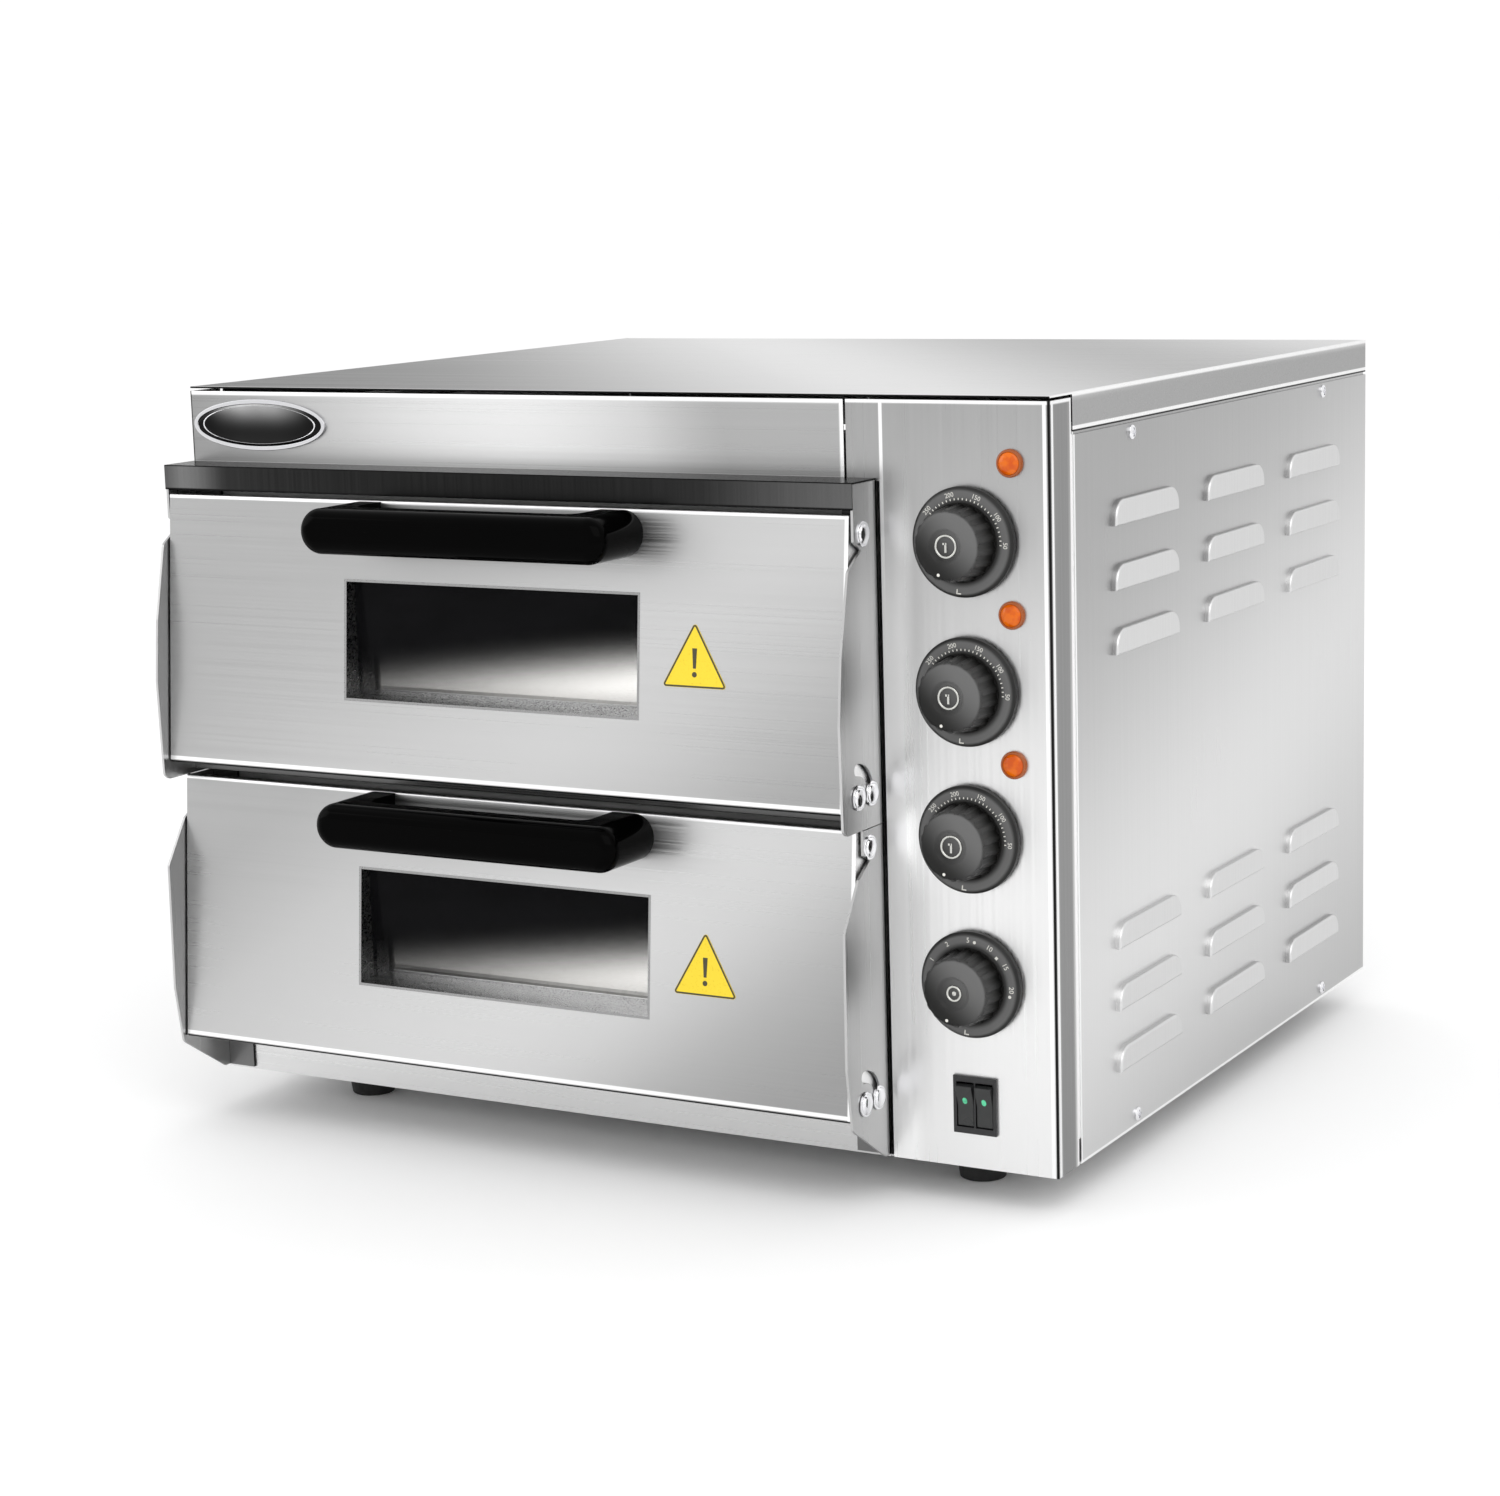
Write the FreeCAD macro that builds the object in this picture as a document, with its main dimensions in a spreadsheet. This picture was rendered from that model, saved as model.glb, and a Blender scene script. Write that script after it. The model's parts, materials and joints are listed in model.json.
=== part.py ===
import FreeCAD, Part
import math
import os
import re
import Sketcher
from FreeCAD import Placement, Rotation, Vector

# Countertop pizza oven with two baking decks, one above the other.
# Origin: middle of the footprint at the level the feet stand on. +Z up, the doors face -Y.
# Lengths in millimetres, angles in degrees.

# ---------------------------------------------------------------- driving sizes
SIZES = [
    # whole case
    ("body_width", 560, "case, left to right"),
    ("body_depth", 495, "case, front sheet to rear sheet"),
    ("body_height", 418, "case, underside to top"),
    ("foot_height", 22, "rubber foot"),
    ("foot_radius", 16, "rubber foot, at its top"),
    ("foot_taper", 3, "rubber foot, narrower at the floor, radial"),
    ("foot_stud", 10, "foot's stud above the case underside"),
    ("foot_inset_side", 70, "foot centre from the case side"),
    ("foot_inset_front", 52, "foot centre from the case front and rear"),
    ("sheet", 1.0, "thickness of the case sheet"),
    ("seam", 1.5, "open joint between neighbouring panels"),
    ("drill", 5, "how far the cutter of a hole reaches beyond the sheet"),
    ("wrap_depth", 27, "front sheets folded round the case sides"),
    ("skirt_drop", 20.5, "top cover folded down the sides and rear"),
    ("rail_height", 27, "front rail of the base"),
    ("base_flange", 14, "side and rear flanges of the base"),
    # front
    ("control_width", 101, "control column, right of the bay that holds the doors"),
    ("fascia_short", 19, "sheet above the doors, shorter than the bay"),
    ("fascia_height", 45.6, "sheet above the doors"),
    ("panel_gap", 0.5, "control panel to the cheeks, beyond the seam"),
    ("lintel_reach", 28, "upper lintel in front of the case"),
    ("lintel_height", 14.5, "upper lintel, front face"),
    ("mid_lintel_reach", 18, "lower lintel in front of the case"),
    ("mid_lintel_height", 5, "lower lintel, front face"),
    ("mid_lintel_gap", 1.5, "lower lintel above the lower door"),
    ("lintel_gap", 1.9, "upper lintel above the upper door"),
    # decks and doors
    ("lower_door_bottom", 29, "lower door above the case underside"),
    ("deck_gap", 9, "upper door above the lower door"),
    ("door_top_reach", 27, "door's top edge in front of the case"),
    ("door_foot_reach", 41, "door's bottom edge in front of the case"),
    ("door_back_gap", 3, "door's back in front of the case"),
    ("door_back_drop", 6, "door's top, lower at the back"),
    ("door_back_rise", 2, "door's underside, higher at the back"),
    ("door_side_gap", 1.0, "door to cheek"),
    ("door_sheet", 1.2, "thickness of the door sheets"),
    ("window_width", 199, "opening in the door"),
    ("window_drop", 46, "opening below the door's top edge"),
    ("window_rise", 44, "opening above the door's bottom edge"),
    ("trim_wall", 1.5, "steel sleeve round the window"),
    ("glass_thick", 4, "each of two panes"),
    ("outer_glass_reach", 24, "outer pane's front face in front of the case"),
    ("inner_glass_reach", 9, "inner pane's front face in front of the case"),
    # hinges
    ("cheek_sheet", 1.5, "thickness of the hinge cheeks"),
    ("cheek_flange", 20, "cheek's flange on the front frame"),
    ("pivot_reach", 29, "door pivot in front of the case"),
    ("pivot_rise", 8.5, "door pivot above the door's bottom edge"),
    ("guide_radius", 15, "guide bolt from the pivot"),
    ("nut_radius", 5, "nuts of the hinge bolts"),
    ("nut_height", 3, "nuts of the hinge bolts"),
    ("bolt_end", 2, "bolt beyond its nut"),
    ("door_swing", 90, "how far a door opens"),
    ("top_bolt_reach", 17, "cheek's top bolt in front of the case"),
    ("top_bolt_drop", 11.5, "cheek's top bolt below the door's top edge"),
    ("bolt_radius", 3, "shank of the hinge bolts"),
    ("bolt_head_radius", 6.8, "head of the hinge bolts"),
    ("bolt_head_height", 2.8, "head of the hinge bolts"),
    ("head_gap", 0.4, "bolt head to cheek"),
    ("slot_gap", 0.4, "guide bolt to the slot's edge"),
    ("pivot_gap", 0.05, "pivot bolt in its hole, radial"),
    ("hole_gap", 0.3, "clearance hole round a fixed screw or stud, radial"),
    # handles
    ("handle_front", 72, "handle's front in front of the case"),
    ("handle_length", 202, "handle, end to end"),
    ("handle_height", 26, "handle, top to bottom"),
    ("handle_drop", 1.5, "handle's top below the door's top edge"),
    ("handle_leg", 27, "each leg of the handle"),
    ("handle_bar", 17, "grip bar, front to back"),
    ("handle_end_flat", 0.4, "flat left between the round ends' fillets"),
    ("handle_nose_flat", 1.6, "bar's thickness that its front rounding leaves"),
    ("handle_corner", 8, "rounding of the finger gap's inner corners"),
    ("handle_screw_radius", 2.5, "handle screw"),
    ("handle_screw_head", 4.5, "handle screw's head, radius"),
    ("handle_screw_cap", 3, "handle screw's head, height"),
    ("handle_screw_reach", 12, "handle screw in front of the door's face"),
    # chambers
    ("chamber_side", 26.5, "baking chamber from each end of the bay"),
    ("chamber_drop", 20, "chamber ceiling below the door's top edge"),
    ("chamber_rear", 64, "baking chamber from the case's rear"),
    ("chamber_rise", 16, "chamber floor above the door's bottom edge"),
    ("liner_sheet", 0.8, "thickness of the chamber sheet"),
    ("mouth_trim", 4, "front frame's lip round the chamber mouth"),
    ("blanket", 18, "insulation round each chamber"),
    ("blanket_gap", 0.5, "insulation to the front frame"),
    ("stone_side", 3, "baking stone from each side wall"),
    ("stone_rear", 22, "baking stone from the rear wall"),
    ("stone_thick", 14, "baking stone"),
    ("ledge_rise", 14, "stone ledges above the chamber floor"),
    ("ledge_width", 14, "stone ledges"),
    ("ledge_inset", 8, "ledges and stone from the chamber's front, ledges from its rear"),
    ("stone_edge", 1.5, "bevel round the stone's top"),
    ("element_radius", 4, "tubular heating element"),
    ("element_inset", 40, "element from the chamber's walls"),
    ("element_low", 7, "lower element's centre above the chamber floor"),
    ("element_high", 9, "upper element's centre below the chamber ceiling"),
    ("element_legs", 8, "runs of each element, an even number"),
    ("terminal_reach", 22, "element ends beyond the chamber's right wall"),
    ("collar_radius", 6, "collar where an element meets the wall"),
    ("collar_thick", 2, "collar where an element meets the wall"),
    ("bulb_radius", 3, "thermostat's sensor bulb"),
    ("bulb_length", 90, "thermostat's sensor bulb"),
    ("bulb_reach", 130, "bulb's far end from the chamber's right wall"),
    ("bulb_rear_gap", 14, "bulb in front of the chamber's rear wall"),
    ("bulb_drop", 22, "ceiling bulb below the chamber ceiling"),
    ("bulb_rise", 40, "floor bulb above the chamber floor"),
    ("capillary_radius", 1, "thin tube from a bulb to its thermostat"),
    ("capillary_bend", 8, "thin tube's bends"),
    ("capillary_offset", 14, "first thin tube left of the control shafts"),
    ("capillary_pitch", 10, "thin tube to thin tube"),
    ("capillary_clear", 6, "thin tubes behind the timer's case"),
    ("capillary_drop", 10, "thin tube's end below the control shaft"),
    ("wall_inset", 6, "compartment wall left of the bay's right end"),
    ("wall_gap", 4, "compartment wall from the front and rear sheets"),
    # control panel
    ("knob_inset", 48.7, "control shafts from the case's right side"),
    ("knob_drop", 76.2, "top control shaft below the case top"),
    ("knob_low", 103.3, "bottom control shaft above the case underside"),
    ("knob_skirt_radius", 29.3, "knob skirt"),
    ("knob_skirt_height", 5.5, "knob skirt"),
    ("knob_grip_radius", 20.5, "knob grip, at its foot"),
    ("knob_tip_radius", 19, "knob grip, at its tip"),
    ("knob_height", 25, "knob, panel side to tip"),
    ("knob_bevel", 2, "bevels round the skirt and the tip"),
    ("knob_root", 1, "step where the grip meets the skirt"),
    ("knob_face_fall", 1.2, "face lower at its rim than round the hollow"),
    ("knob_dish_radius", 9.5, "hollow of the knob's face"),
    ("knob_dish", 1.6, "hollow of the knob's face, depth"),
    ("knob_crown", 8, "knob beyond the bore for its shaft"),
    ("knob_flutes", 18, "finger flutes round the grip"),
    ("flute_radius", 3, "finger flute"),
    ("flute_depth", 0.9, "finger flute"),
    ("knob_gap", 0.6, "knob to panel"),
    ("shaft_radius", 3, "control shaft"),
    ("shaft_gap", 0.05, "shaft in its bush and in the knob, radial"),
    ("shaft_end_gap", 1, "shaft's end to the end of the knob's bore"),
    ("shaft_tail", 18, "shaft behind the case's front"),
    ("bush_radius", 4.8, "threaded bush of a control"),
    ("bush_reach", 0.3, "bush in front of the panel"),
    ("control_bore", 20, "bore for the shaft behind the case's front"),
    ("thermostat_width", 36, "thermostat body"),
    ("thermostat_depth", 30, "thermostat body"),
    ("timer_width", 46, "timer body"),
    ("timer_depth", 38, "timer body"),
    ("lamp_inset", 22.5, "lamps from the case's right side"),
    ("lamp_rise", 41.5, "lamp above the control shaft below it"),
    ("lamp_radius", 7.4, "lamp lens"),
    ("lamp_height", 4, "lamp lens in front of the panel"),
    ("lamp_body_radius", 5.5, "lamp barrel behind the panel"),
    ("lamp_barrel", 22, "lamp barrel behind the case's front"),
    ("lamp_nut", 4, "lamp's nut, thickness"),
    ("lamp_nut_wall", 2, "lamp's nut round its barrel"),
    ("switch_inset", 48.5, "switch centre from the case's right side"),
    ("switch_z", 35.5, "switch centre above the case underside"),
    ("switch_width", 25.7, "switch bezel"),
    ("switch_height", 32.2, "switch bezel"),
    ("switch_bezel", 2, "switch bezel in front of the panel"),
    ("switch_lip", 1.2, "switch bezel over its hole in the panel"),
    ("switch_step", 1.5, "switch body, inside its bezel's edge"),
    ("switch_depth", 26, "switch body behind the panel"),
    ("rocker_width", 9.6, "each rocker"),
    ("rocker_height", 23.2, "each rocker"),
    ("rocker_gap", 0.9, "rocker's ends to its pocket"),
    ("rocker_wall", 1.8, "space between the two rockers"),
    ("rocker_pivot_depth", 2.5, "rocker's pivot behind the bezel's face"),
    ("rocker_lip", 3.6, "rocker's ends in front of its pivot"),
    ("rocker_valley", 1.9, "rocker's middle in front of its pivot"),
    ("rocker_shoulder", 0.5, "rocker's straight sides behind its pivot"),
    ("rocker_root", 7, "rocker behind its pivot"),
    ("rocker_root_half", 5, "half the height of the rocker's root"),
    ("rocker_pocket", 12, "rocker's pocket behind the case's front"),
    ("rocker_tilt", 9, "rocker from level, either way"),
    # sides and rear
    ("louvre_length", 89, "louvre"),
    ("louvre_height", 14, "louvre"),
    ("louvre_rise", 3.5, "louvre pressed out of the side panel"),
    ("louvre_wall", 0.9, "thickness of a louvre"),
    ("louvre_end", 8, "louvre's end beyond its open edge"),
    ("louvre_columns", 3, "louvres front to back"),
    ("louvre_rows", 3, "louvres down each group"),
    ("louvre_start", 79, "first louvre from the case's front"),
    ("louvre_end_gap", 58, "last louvre from the case's rear"),
    ("louvre_row_pitch", 35.1, "louvre to louvre, down a group"),
    ("louvre_drop", 75.5, "top louvre's lower edge below the case top"),
    ("louvre_low", 38.3, "lowest louvre's lower edge above the case underside"),
    ("side_gap", 3, "side panel behind the wrapped front sheet"),
    ("side_tongue", 6, "side panel behind its neighbours' edges"),
    ("side_lip", 12, "side panel folded inwards at its top"),
    ("slot_x", 90, "first rear slot from the case's left side"),
    ("slot_length", 120, "rear slot"),
    ("slot_side_gap", 140, "last rear slot from the case's right side"),
    ("slot_drop", 118, "lowest rear slot below the case top"),
    ("slot_height", 4, "rear slot"),
    ("slot_row_pitch", 18, "rear slot to rear slot, up the panel"),
    ("screw_head_radius", 4, "case screw"),
    ("screw_radius", 2, "case screw"),
    ("screw_length", 9, "case screw's shank"),
    ("screw_cap", 2, "case screw's head, height"),
    ("screw_y_front", 107, "front case screws from the case's front"),
    ("screw_rear", 83, "rear case screws from the case's rear"),
    ("screw_z_low", 7, "lower case screws above the case underside"),
    ("gland_inset", 55, "cable gland from the case's right side"),
    ("gland_z", 60, "cable gland above the case underside"),
    ("gland_reach", 14, "cable gland behind the case"),
    ("gland_radius", 12, "cable gland nut"),
    ("gland_bore_radius", 5, "hole for the mains lead"),
    ("gland_tail", 8, "gland in front of the rear face"),
    ("gland_neck", 3, "gland's neck smaller than its nuts, radial"),
    ("gland_nut", 5, "gland's outer nut, thickness"),
    ("gland_step", 1.5, "gland's cap smaller than its nut, radial"),
    ("gland_dome", 4, "rounded end of the gland's cap"),
    ("gland_lip", 2, "gland's cap round the lead"),
    ("block_inset", 60, "terminal block's left side from the case's right side"),
    ("block_rear", 95, "terminal block's front side from the case's rear"),
    ("block_width", 30, "terminal block"),
    ("block_depth", 50, "terminal block"),
    ("block_height", 14, "terminal block"),
    ("ridge_thick", 2, "terminal block's ridges"),
    ("ridge_height", 6, "terminal block's ridges"),
    ("ridge_pitch", 16, "ridge to ridge"),
    ("block_screw_radius", 2.5, "terminal screw"),
    ("block_screw_cap", 3, "terminal screw's head, 1 mm of it sunk"),
    ("block_screw_inset", 7, "terminal screw from the block's side"),
    ("badge_width", 96, "oval badge"),
    ("badge_height", 30, "oval badge"),
    ("badge_thick", 1.6, "oval badge"),
    ("badge_rim", 2.5, "badge's raised rim"),
    ("badge_field", 0.6, "badge's field below its rim"),
    ("badge_x", 51, "badge centre from the case's left side"),
    ("badge_drop", 22, "badge centre below the case top"),
]

# Sizes that follow from the ones above
FOLLOWING = {
    "bay_width": "body_width - control_width",
    "fascia_width": "bay_width - fascia_short",
    "deck_pitch": "(body_height - fascia_height - lower_door_bottom - lintel_height + seam"
                  " - lintel_gap + deck_gap) / 2",
    "door_height": "deck_pitch - deck_gap",
    "window_height": "door_height - window_rise - window_drop",
    "handle_rise": "door_height - handle_drop - handle_height",
    "chamber_width": "bay_width - 2 * chamber_side",
    "chamber_height": "door_height - chamber_rise - chamber_drop",
    "chamber_depth": "body_depth - sheet - chamber_rear",
    "stone_width": "chamber_width - 2 * stone_side",
    "stone_depth": "chamber_depth - ledge_inset - stone_rear",
    "knob_x": "body_width - knob_inset",
    "knob_top_z": "body_height - knob_drop",
    "knob_pitch": "(knob_top_z - knob_low) / 3",
    "lamp_x": "body_width - lamp_inset",
    "switch_x": "body_width - switch_inset",
    "gland_x": "body_width - gland_inset",
    "block_x": "body_width - block_inset",
    "block_y": "body_depth - block_rear",
    "louvre_column_pitch": "(body_depth - louvre_start - louvre_length - louvre_end_gap)"
                           " / (louvre_columns - 1)",
    "louvre_top_z": "body_height - louvre_drop",
    "louvre_group_drop": "louvre_top_z - louvre_low - (louvre_rows - 1) * louvre_row_pitch",
    "screw_y_rear": "body_depth - screw_rear",
    "slot_column_pitch": "body_width - slot_x - slot_length - slot_side_gap",
    "slot_z": "body_height - slot_drop",
}

doc = FreeCAD.newDocument("countertop_pizza_oven")
sizes = doc.addObject("Spreadsheet::Sheet", "sizes")
for row, (alias, value, meaning) in enumerate(SIZES, start=1):
    sizes.set(f"A{row}", meaning)
    sizes.set(f"B{row}", str(value))
    sizes.setAlias(f"B{row}", alias)
doc.recompute()

# ---------------------------------------------------------------- formulas on the sheet
ALIAS = re.compile(r"\b(" + "|".join(size[0] for size in SIZES) + r")\b")
FOLLOWS = re.compile(r"\b(" + "|".join(FOLLOWING) + r")\b")
gauge = doc.addObject("App::FeaturePython", "gauge")
gauge.addProperty("App::PropertyFloat", "Reading")


def on_sheet(formula):
    """The formula with following sizes written out and the driving sizes pointed at the sheet."""
    while FOLLOWS.search(formula):
        formula = FOLLOWS.sub(lambda found: f"({FOLLOWING[found.group()]})", formula)
    return ALIAS.sub(r"sizes.\1", formula)


def number(formula):
    """What a formula on the sheet comes to."""
    gauge.setExpression("Reading", on_sheet(formula))
    gauge.recompute()
    return gauge.Reading


# Places that many pieces share
LEFT = "(-body_width / 2)"
RIGHT = "(body_width / 2)"
FRONT = "((handle_front - body_depth - gland_reach) / 2)"
REAR = f"({FRONT} + body_depth)"
UNDER = "foot_height"
TOP = "(foot_height + body_height)"
BAY_RIGHT = f"({LEFT} + bay_width)"
BAY_MIDDLE = f"({LEFT} + bay_width / 2)"
FASCIA_FOOT = f"({TOP} - fascia_height)"
SKIRT_FOOT = f"({TOP} - skirt_drop)"
DOOR_WIDTH = "(bay_width - 2 * (cheek_sheet + door_side_gap))"
DOOR_LEFT = f"({LEFT} + cheek_sheet + door_side_gap)"
DOOR_FOOT = {
    "lower": "(foot_height + lower_door_bottom)",
    "upper": "(foot_height + lower_door_bottom + deck_pitch)",
}
LINTEL_FOOT = f"({FASCIA_FOOT} + seam - lintel_height)"
MID_LINTEL_FOOT = f"({DOOR_FOOT['lower']} + door_height + mid_lintel_gap)"
BACK_OF_PANEL = f"({FRONT} + sheet)"


def out(reach):
    """A place in front of the case."""
    return f"({FRONT} - ({reach}))"


def inward(depth):
    """A place behind the case's front."""
    return f"({FRONT} + ({depth}))"


def across(distance):
    """A place to the right of the case's left side."""
    return f"({LEFT} + ({distance}))"


def above(height):
    """A height above the case's underside."""
    return f"({UNDER} + ({height}))"


def case_span(side, near, far):
    """From near to far, both counted inwards from the case's left or right side."""
    if side == "left":
        return f"{LEFT} + ({near})", f"{LEFT} + ({far})"
    return f"{RIGHT} - ({far})", f"{RIGHT} - ({near})"


def bay_span(side, near, far):
    """From near to far, both counted inwards from the bay's left or right end."""
    if side == "left":
        return f"{LEFT} + ({near})", f"{LEFT} + ({far})"
    return f"{BAY_RIGHT} - ({far})", f"{BAY_RIGHT} - ({near})"


# ---------------------------------------------------------------- makers
TURN = {
    "X": Rotation(Vector(0, 1, 0), 90),
    "Y": Rotation(Vector(1, 0, 0), -90),
    "Z": Rotation(),
}
FRONTWARD = Rotation(Vector(1, 0, 0), 90)  # local +Z points out of the front, local +Y up
subparts = {}


def subpart(label, item):
    """Name a finished piece; it is written to a file of that name."""
    item.Label = label
    subparts[label] = item
    return item


def put(item, x, y, z, rotation=None):
    """Place an item by formulas."""
    if rotation is not None:
        item.Placement = Placement(Vector(), rotation)
    for axis, formula in zip("xyz", (x, y, z)):
        item.setExpression(f"Placement.Base.{axis}", on_sheet(formula))
    return item


def box(name, x, y, z):
    """A box between two corners; x, y and z are (low, high) formulas."""
    item = doc.addObject("Part::Box", name)
    for side, (low, high) in zip(("Length", "Width", "Height"), (x, y, z)):
        item.setExpression(side, on_sheet(f"({high}) - ({low})"))
    return put(item, x[0], y[0], z[0])


def rod(name, axis, radius, x, y, z, length):
    """A cylinder that starts at (x, y, z) and runs along +axis."""
    item = doc.addObject("Part::Cylinder", name)
    item.setExpression("Radius", on_sheet(radius))
    item.setExpression("Height", on_sheet(length))
    return put(item, x, y, z, TURN[axis])


def fused(name, pieces):
    item = doc.addObject("Part::MultiFuse", name)
    item.Shapes = pieces
    return item


def grouped(name, pieces):
    """Separate solids kept in one piece of the document."""
    item = doc.addObject("Part::Compound", name)
    item.Links = pieces
    return item


def cut(name, base, tools):
    item = doc.addObject("Part::Cut", name)
    item.Base = base
    item.Tool = tools[0] if len(tools) == 1 else fused(f"{name}_tools", tools)
    return item


def body_at(name, x, y, z, rotation=None):
    """An empty PartDesign body, placed by formulas."""
    return put(doc.addObject("PartDesign::Body", name), x, y, z, rotation)


def sketch_on(body, name, plane, offset="0"):
    """An empty sketch on one of the body's own origin planes, moved along its normal."""
    sketch = body.newObject("Sketcher::SketchObject", name)
    origin_plane = [item for item in body.Origin.OriginFeatures if item.Role == plane][0]
    sketch.AttachmentSupport = (origin_plane, [""])
    sketch.MapMode = "FlatFace"
    sketch.setExpression("AttachmentOffset.Base.z", on_sheet(offset))
    return sketch


def pin_to_sheet(sketch, kind, ends, formula):
    """A dimension of a sketch, bound to the sheet."""
    index = sketch.addConstraint(Sketcher.Constraint(kind, *ends, number(formula)))
    sketch.setExpression(f"Constraints[{index}]", on_sheet(formula))


def outline(body, name, plane, corners, offset="0"):
    """A closed outline of straight lines; each corner is a pair of formulas."""
    sketch = sketch_on(body, name, plane, offset)
    points = [Vector(number(first), number(second), 0) for first, second in corners]
    for index, point in enumerate(points):
        sketch.addGeometry(Part.LineSegment(point, points[(index + 1) % len(points)]), False)
    for index in range(len(points)):
        after = (index + 1) % len(points)
        sketch.addConstraint(Sketcher.Constraint("Coincident", index, 2, after, 1))
    for index, (first, second) in enumerate(corners):
        pin_to_sheet(sketch, "DistanceX", (-1, 1, index, 1), first)
        pin_to_sheet(sketch, "DistanceY", (-1, 1, index, 1), second)
    return sketch


def circles(body, name, plane, radius, centres, offset="0"):
    """Round outlines of one radius; each centre is a pair of formulas."""
    sketch = sketch_on(body, name, plane, offset)
    for index, (first, second) in enumerate(centres):
        centre = Vector(number(first), number(second), 0)
        sketch.addGeometry(Part.Circle(centre, Vector(0, 0, 1), number(radius)), False)
        pin_to_sheet(sketch, "DistanceX", (-1, 1, index, 3), first)
        pin_to_sheet(sketch, "DistanceY", (-1, 1, index, 3), second)
        pin_to_sheet(sketch, "Radius", (index,), radius)
    return sketch


def pad(body, sketch, length, name):
    feature = body.newObject("PartDesign::Pad", name)
    feature.Profile = sketch
    feature.setExpression("Length", on_sheet(length))
    sketch.Visibility = False
    return feature


def pocket(body, sketch, length, name, backwards=False):
    feature = body.newObject("PartDesign::Pocket", name)
    feature.Profile = sketch
    feature.setExpression("Length", on_sheet(length))
    feature.Reversed = backwards
    return feature


def dress(body, kind, base, chosen, size, name):
    """A fillet or chamfer on the edges of the base feature that 'chosen' accepts."""
    doc.recompute()
    names = [f"Edge{n}" for n, edge in enumerate(base.Shape.Edges, start=1) if chosen(edge)]
    feature = body.newObject(f"PartDesign::{kind}", name)
    feature.Base = (base, names)
    feature.setExpression("Radius" if kind == "Fillet" else "Size", on_sheet(size))
    return feature


def runs_along(edge, direction):
    """True for a straight edge parallel to the direction."""
    if edge.Curve.TypeId != "Part::GeomLine":
        return False
    return abs(abs(edge.Curve.Direction.dot(direction)) - 1) < 1e-6


# ---------------------------------------------------------------- case
def base_pan():
    floor = box("base_floor", (across("sheet"), f"{RIGHT} - sheet"), (inward("sheet"), f"{REAR} - sheet"),
                (UNDER, above("sheet")))
    rail = box("base_rail", (LEFT, BAY_RIGHT), (FRONT, BACK_OF_PANEL), (UNDER, above("rail_height")))
    flanges = [
        box(f"base_flange_{side}", case_span(side, "sheet", "2 * sheet"),
            (inward("wrap_depth + side_gap"), f"{REAR} - sheet"), (UNDER, above("base_flange")))
        for side in ("left", "right")
    ]
    holes = [
        rod(f"base_foot_hole_{index}", "Z", "bolt_radius + hole_gap", x, y, above("-sheet"), "3 * sheet")
        for index, (x, y) in enumerate(foot_centres())
    ]
    screw_holes = [
        screw_shank(f"base_screw_hole_{side}_{index}", side, y, above("screw_z_low"), "hole_gap")
        for side in ("left", "right") for index, y in enumerate(("screw_y_front", "screw_y_rear"))
    ]
    subpart("base_pan", cut("base_pan", fused("base_sheet", [floor, rail] + flanges), holes + screw_holes))


def foot_centres():
    ends_x = (across("foot_inset_side"), f"({RIGHT} - foot_inset_side)")
    ends_y = (inward("foot_inset_front"), f"({REAR} - foot_inset_front)")
    return [(x, y) for x in ends_x for y in ends_y]


def feet():
    """Four tapered rubber feet, each with its stud through the base."""
    pieces = []
    for index, (x, y) in enumerate(foot_centres()):
        rubber = doc.addObject("Part::Cone", f"foot_rubber_{index}")
        rubber.setExpression("Radius1", on_sheet("foot_radius - foot_taper"))
        rubber.setExpression("Radius2", on_sheet("foot_radius"))
        rubber.setExpression("Height", on_sheet("foot_height"))
        put(rubber, x, y, "0")
        stud = rod(f"foot_stud_{index}", "Z", "bolt_radius", x, y, UNDER, "foot_stud")
        pieces.append(fused(f"foot_{index}", [rubber, stud]))
    subpart("feet", grouped("feet", pieces))


def screw_shank(name, side, y, z, gap="0"):
    """The shank of a side screw, or with a gap its clearance hole."""
    x = LEFT if side == "left" else f"({RIGHT} - screw_length)"
    return rod(name, "X", f"screw_radius + {gap}", x, inward(y), z, "screw_length")


def side_screw_places():
    heights = (above("screw_z_low"), f"({SKIRT_FOOT} - seam - screw_head_radius - 1)")
    return [(y, z) for y in ("screw_y_front", "screw_y_rear") for z in heights]


def case_screws():
    """Pan-head screws that hold the side panels."""
    pieces = []
    for side in ("left", "right"):
        for index, (y, z) in enumerate(side_screw_places()):
            name = f"case_screw_{side}_{index}"
            shank = screw_shank(f"{name}_shank", side, y, z)
            head_x = f"({LEFT} - screw_cap)" if side == "left" else RIGHT
            head = rod(f"{name}_head", "X", "screw_head_radius", head_x, inward(y), z, "screw_cap")
            pieces.append(fused(name, [shank, head]))
    subpart("case_screws", grouped("case_screws", pieces))


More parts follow.
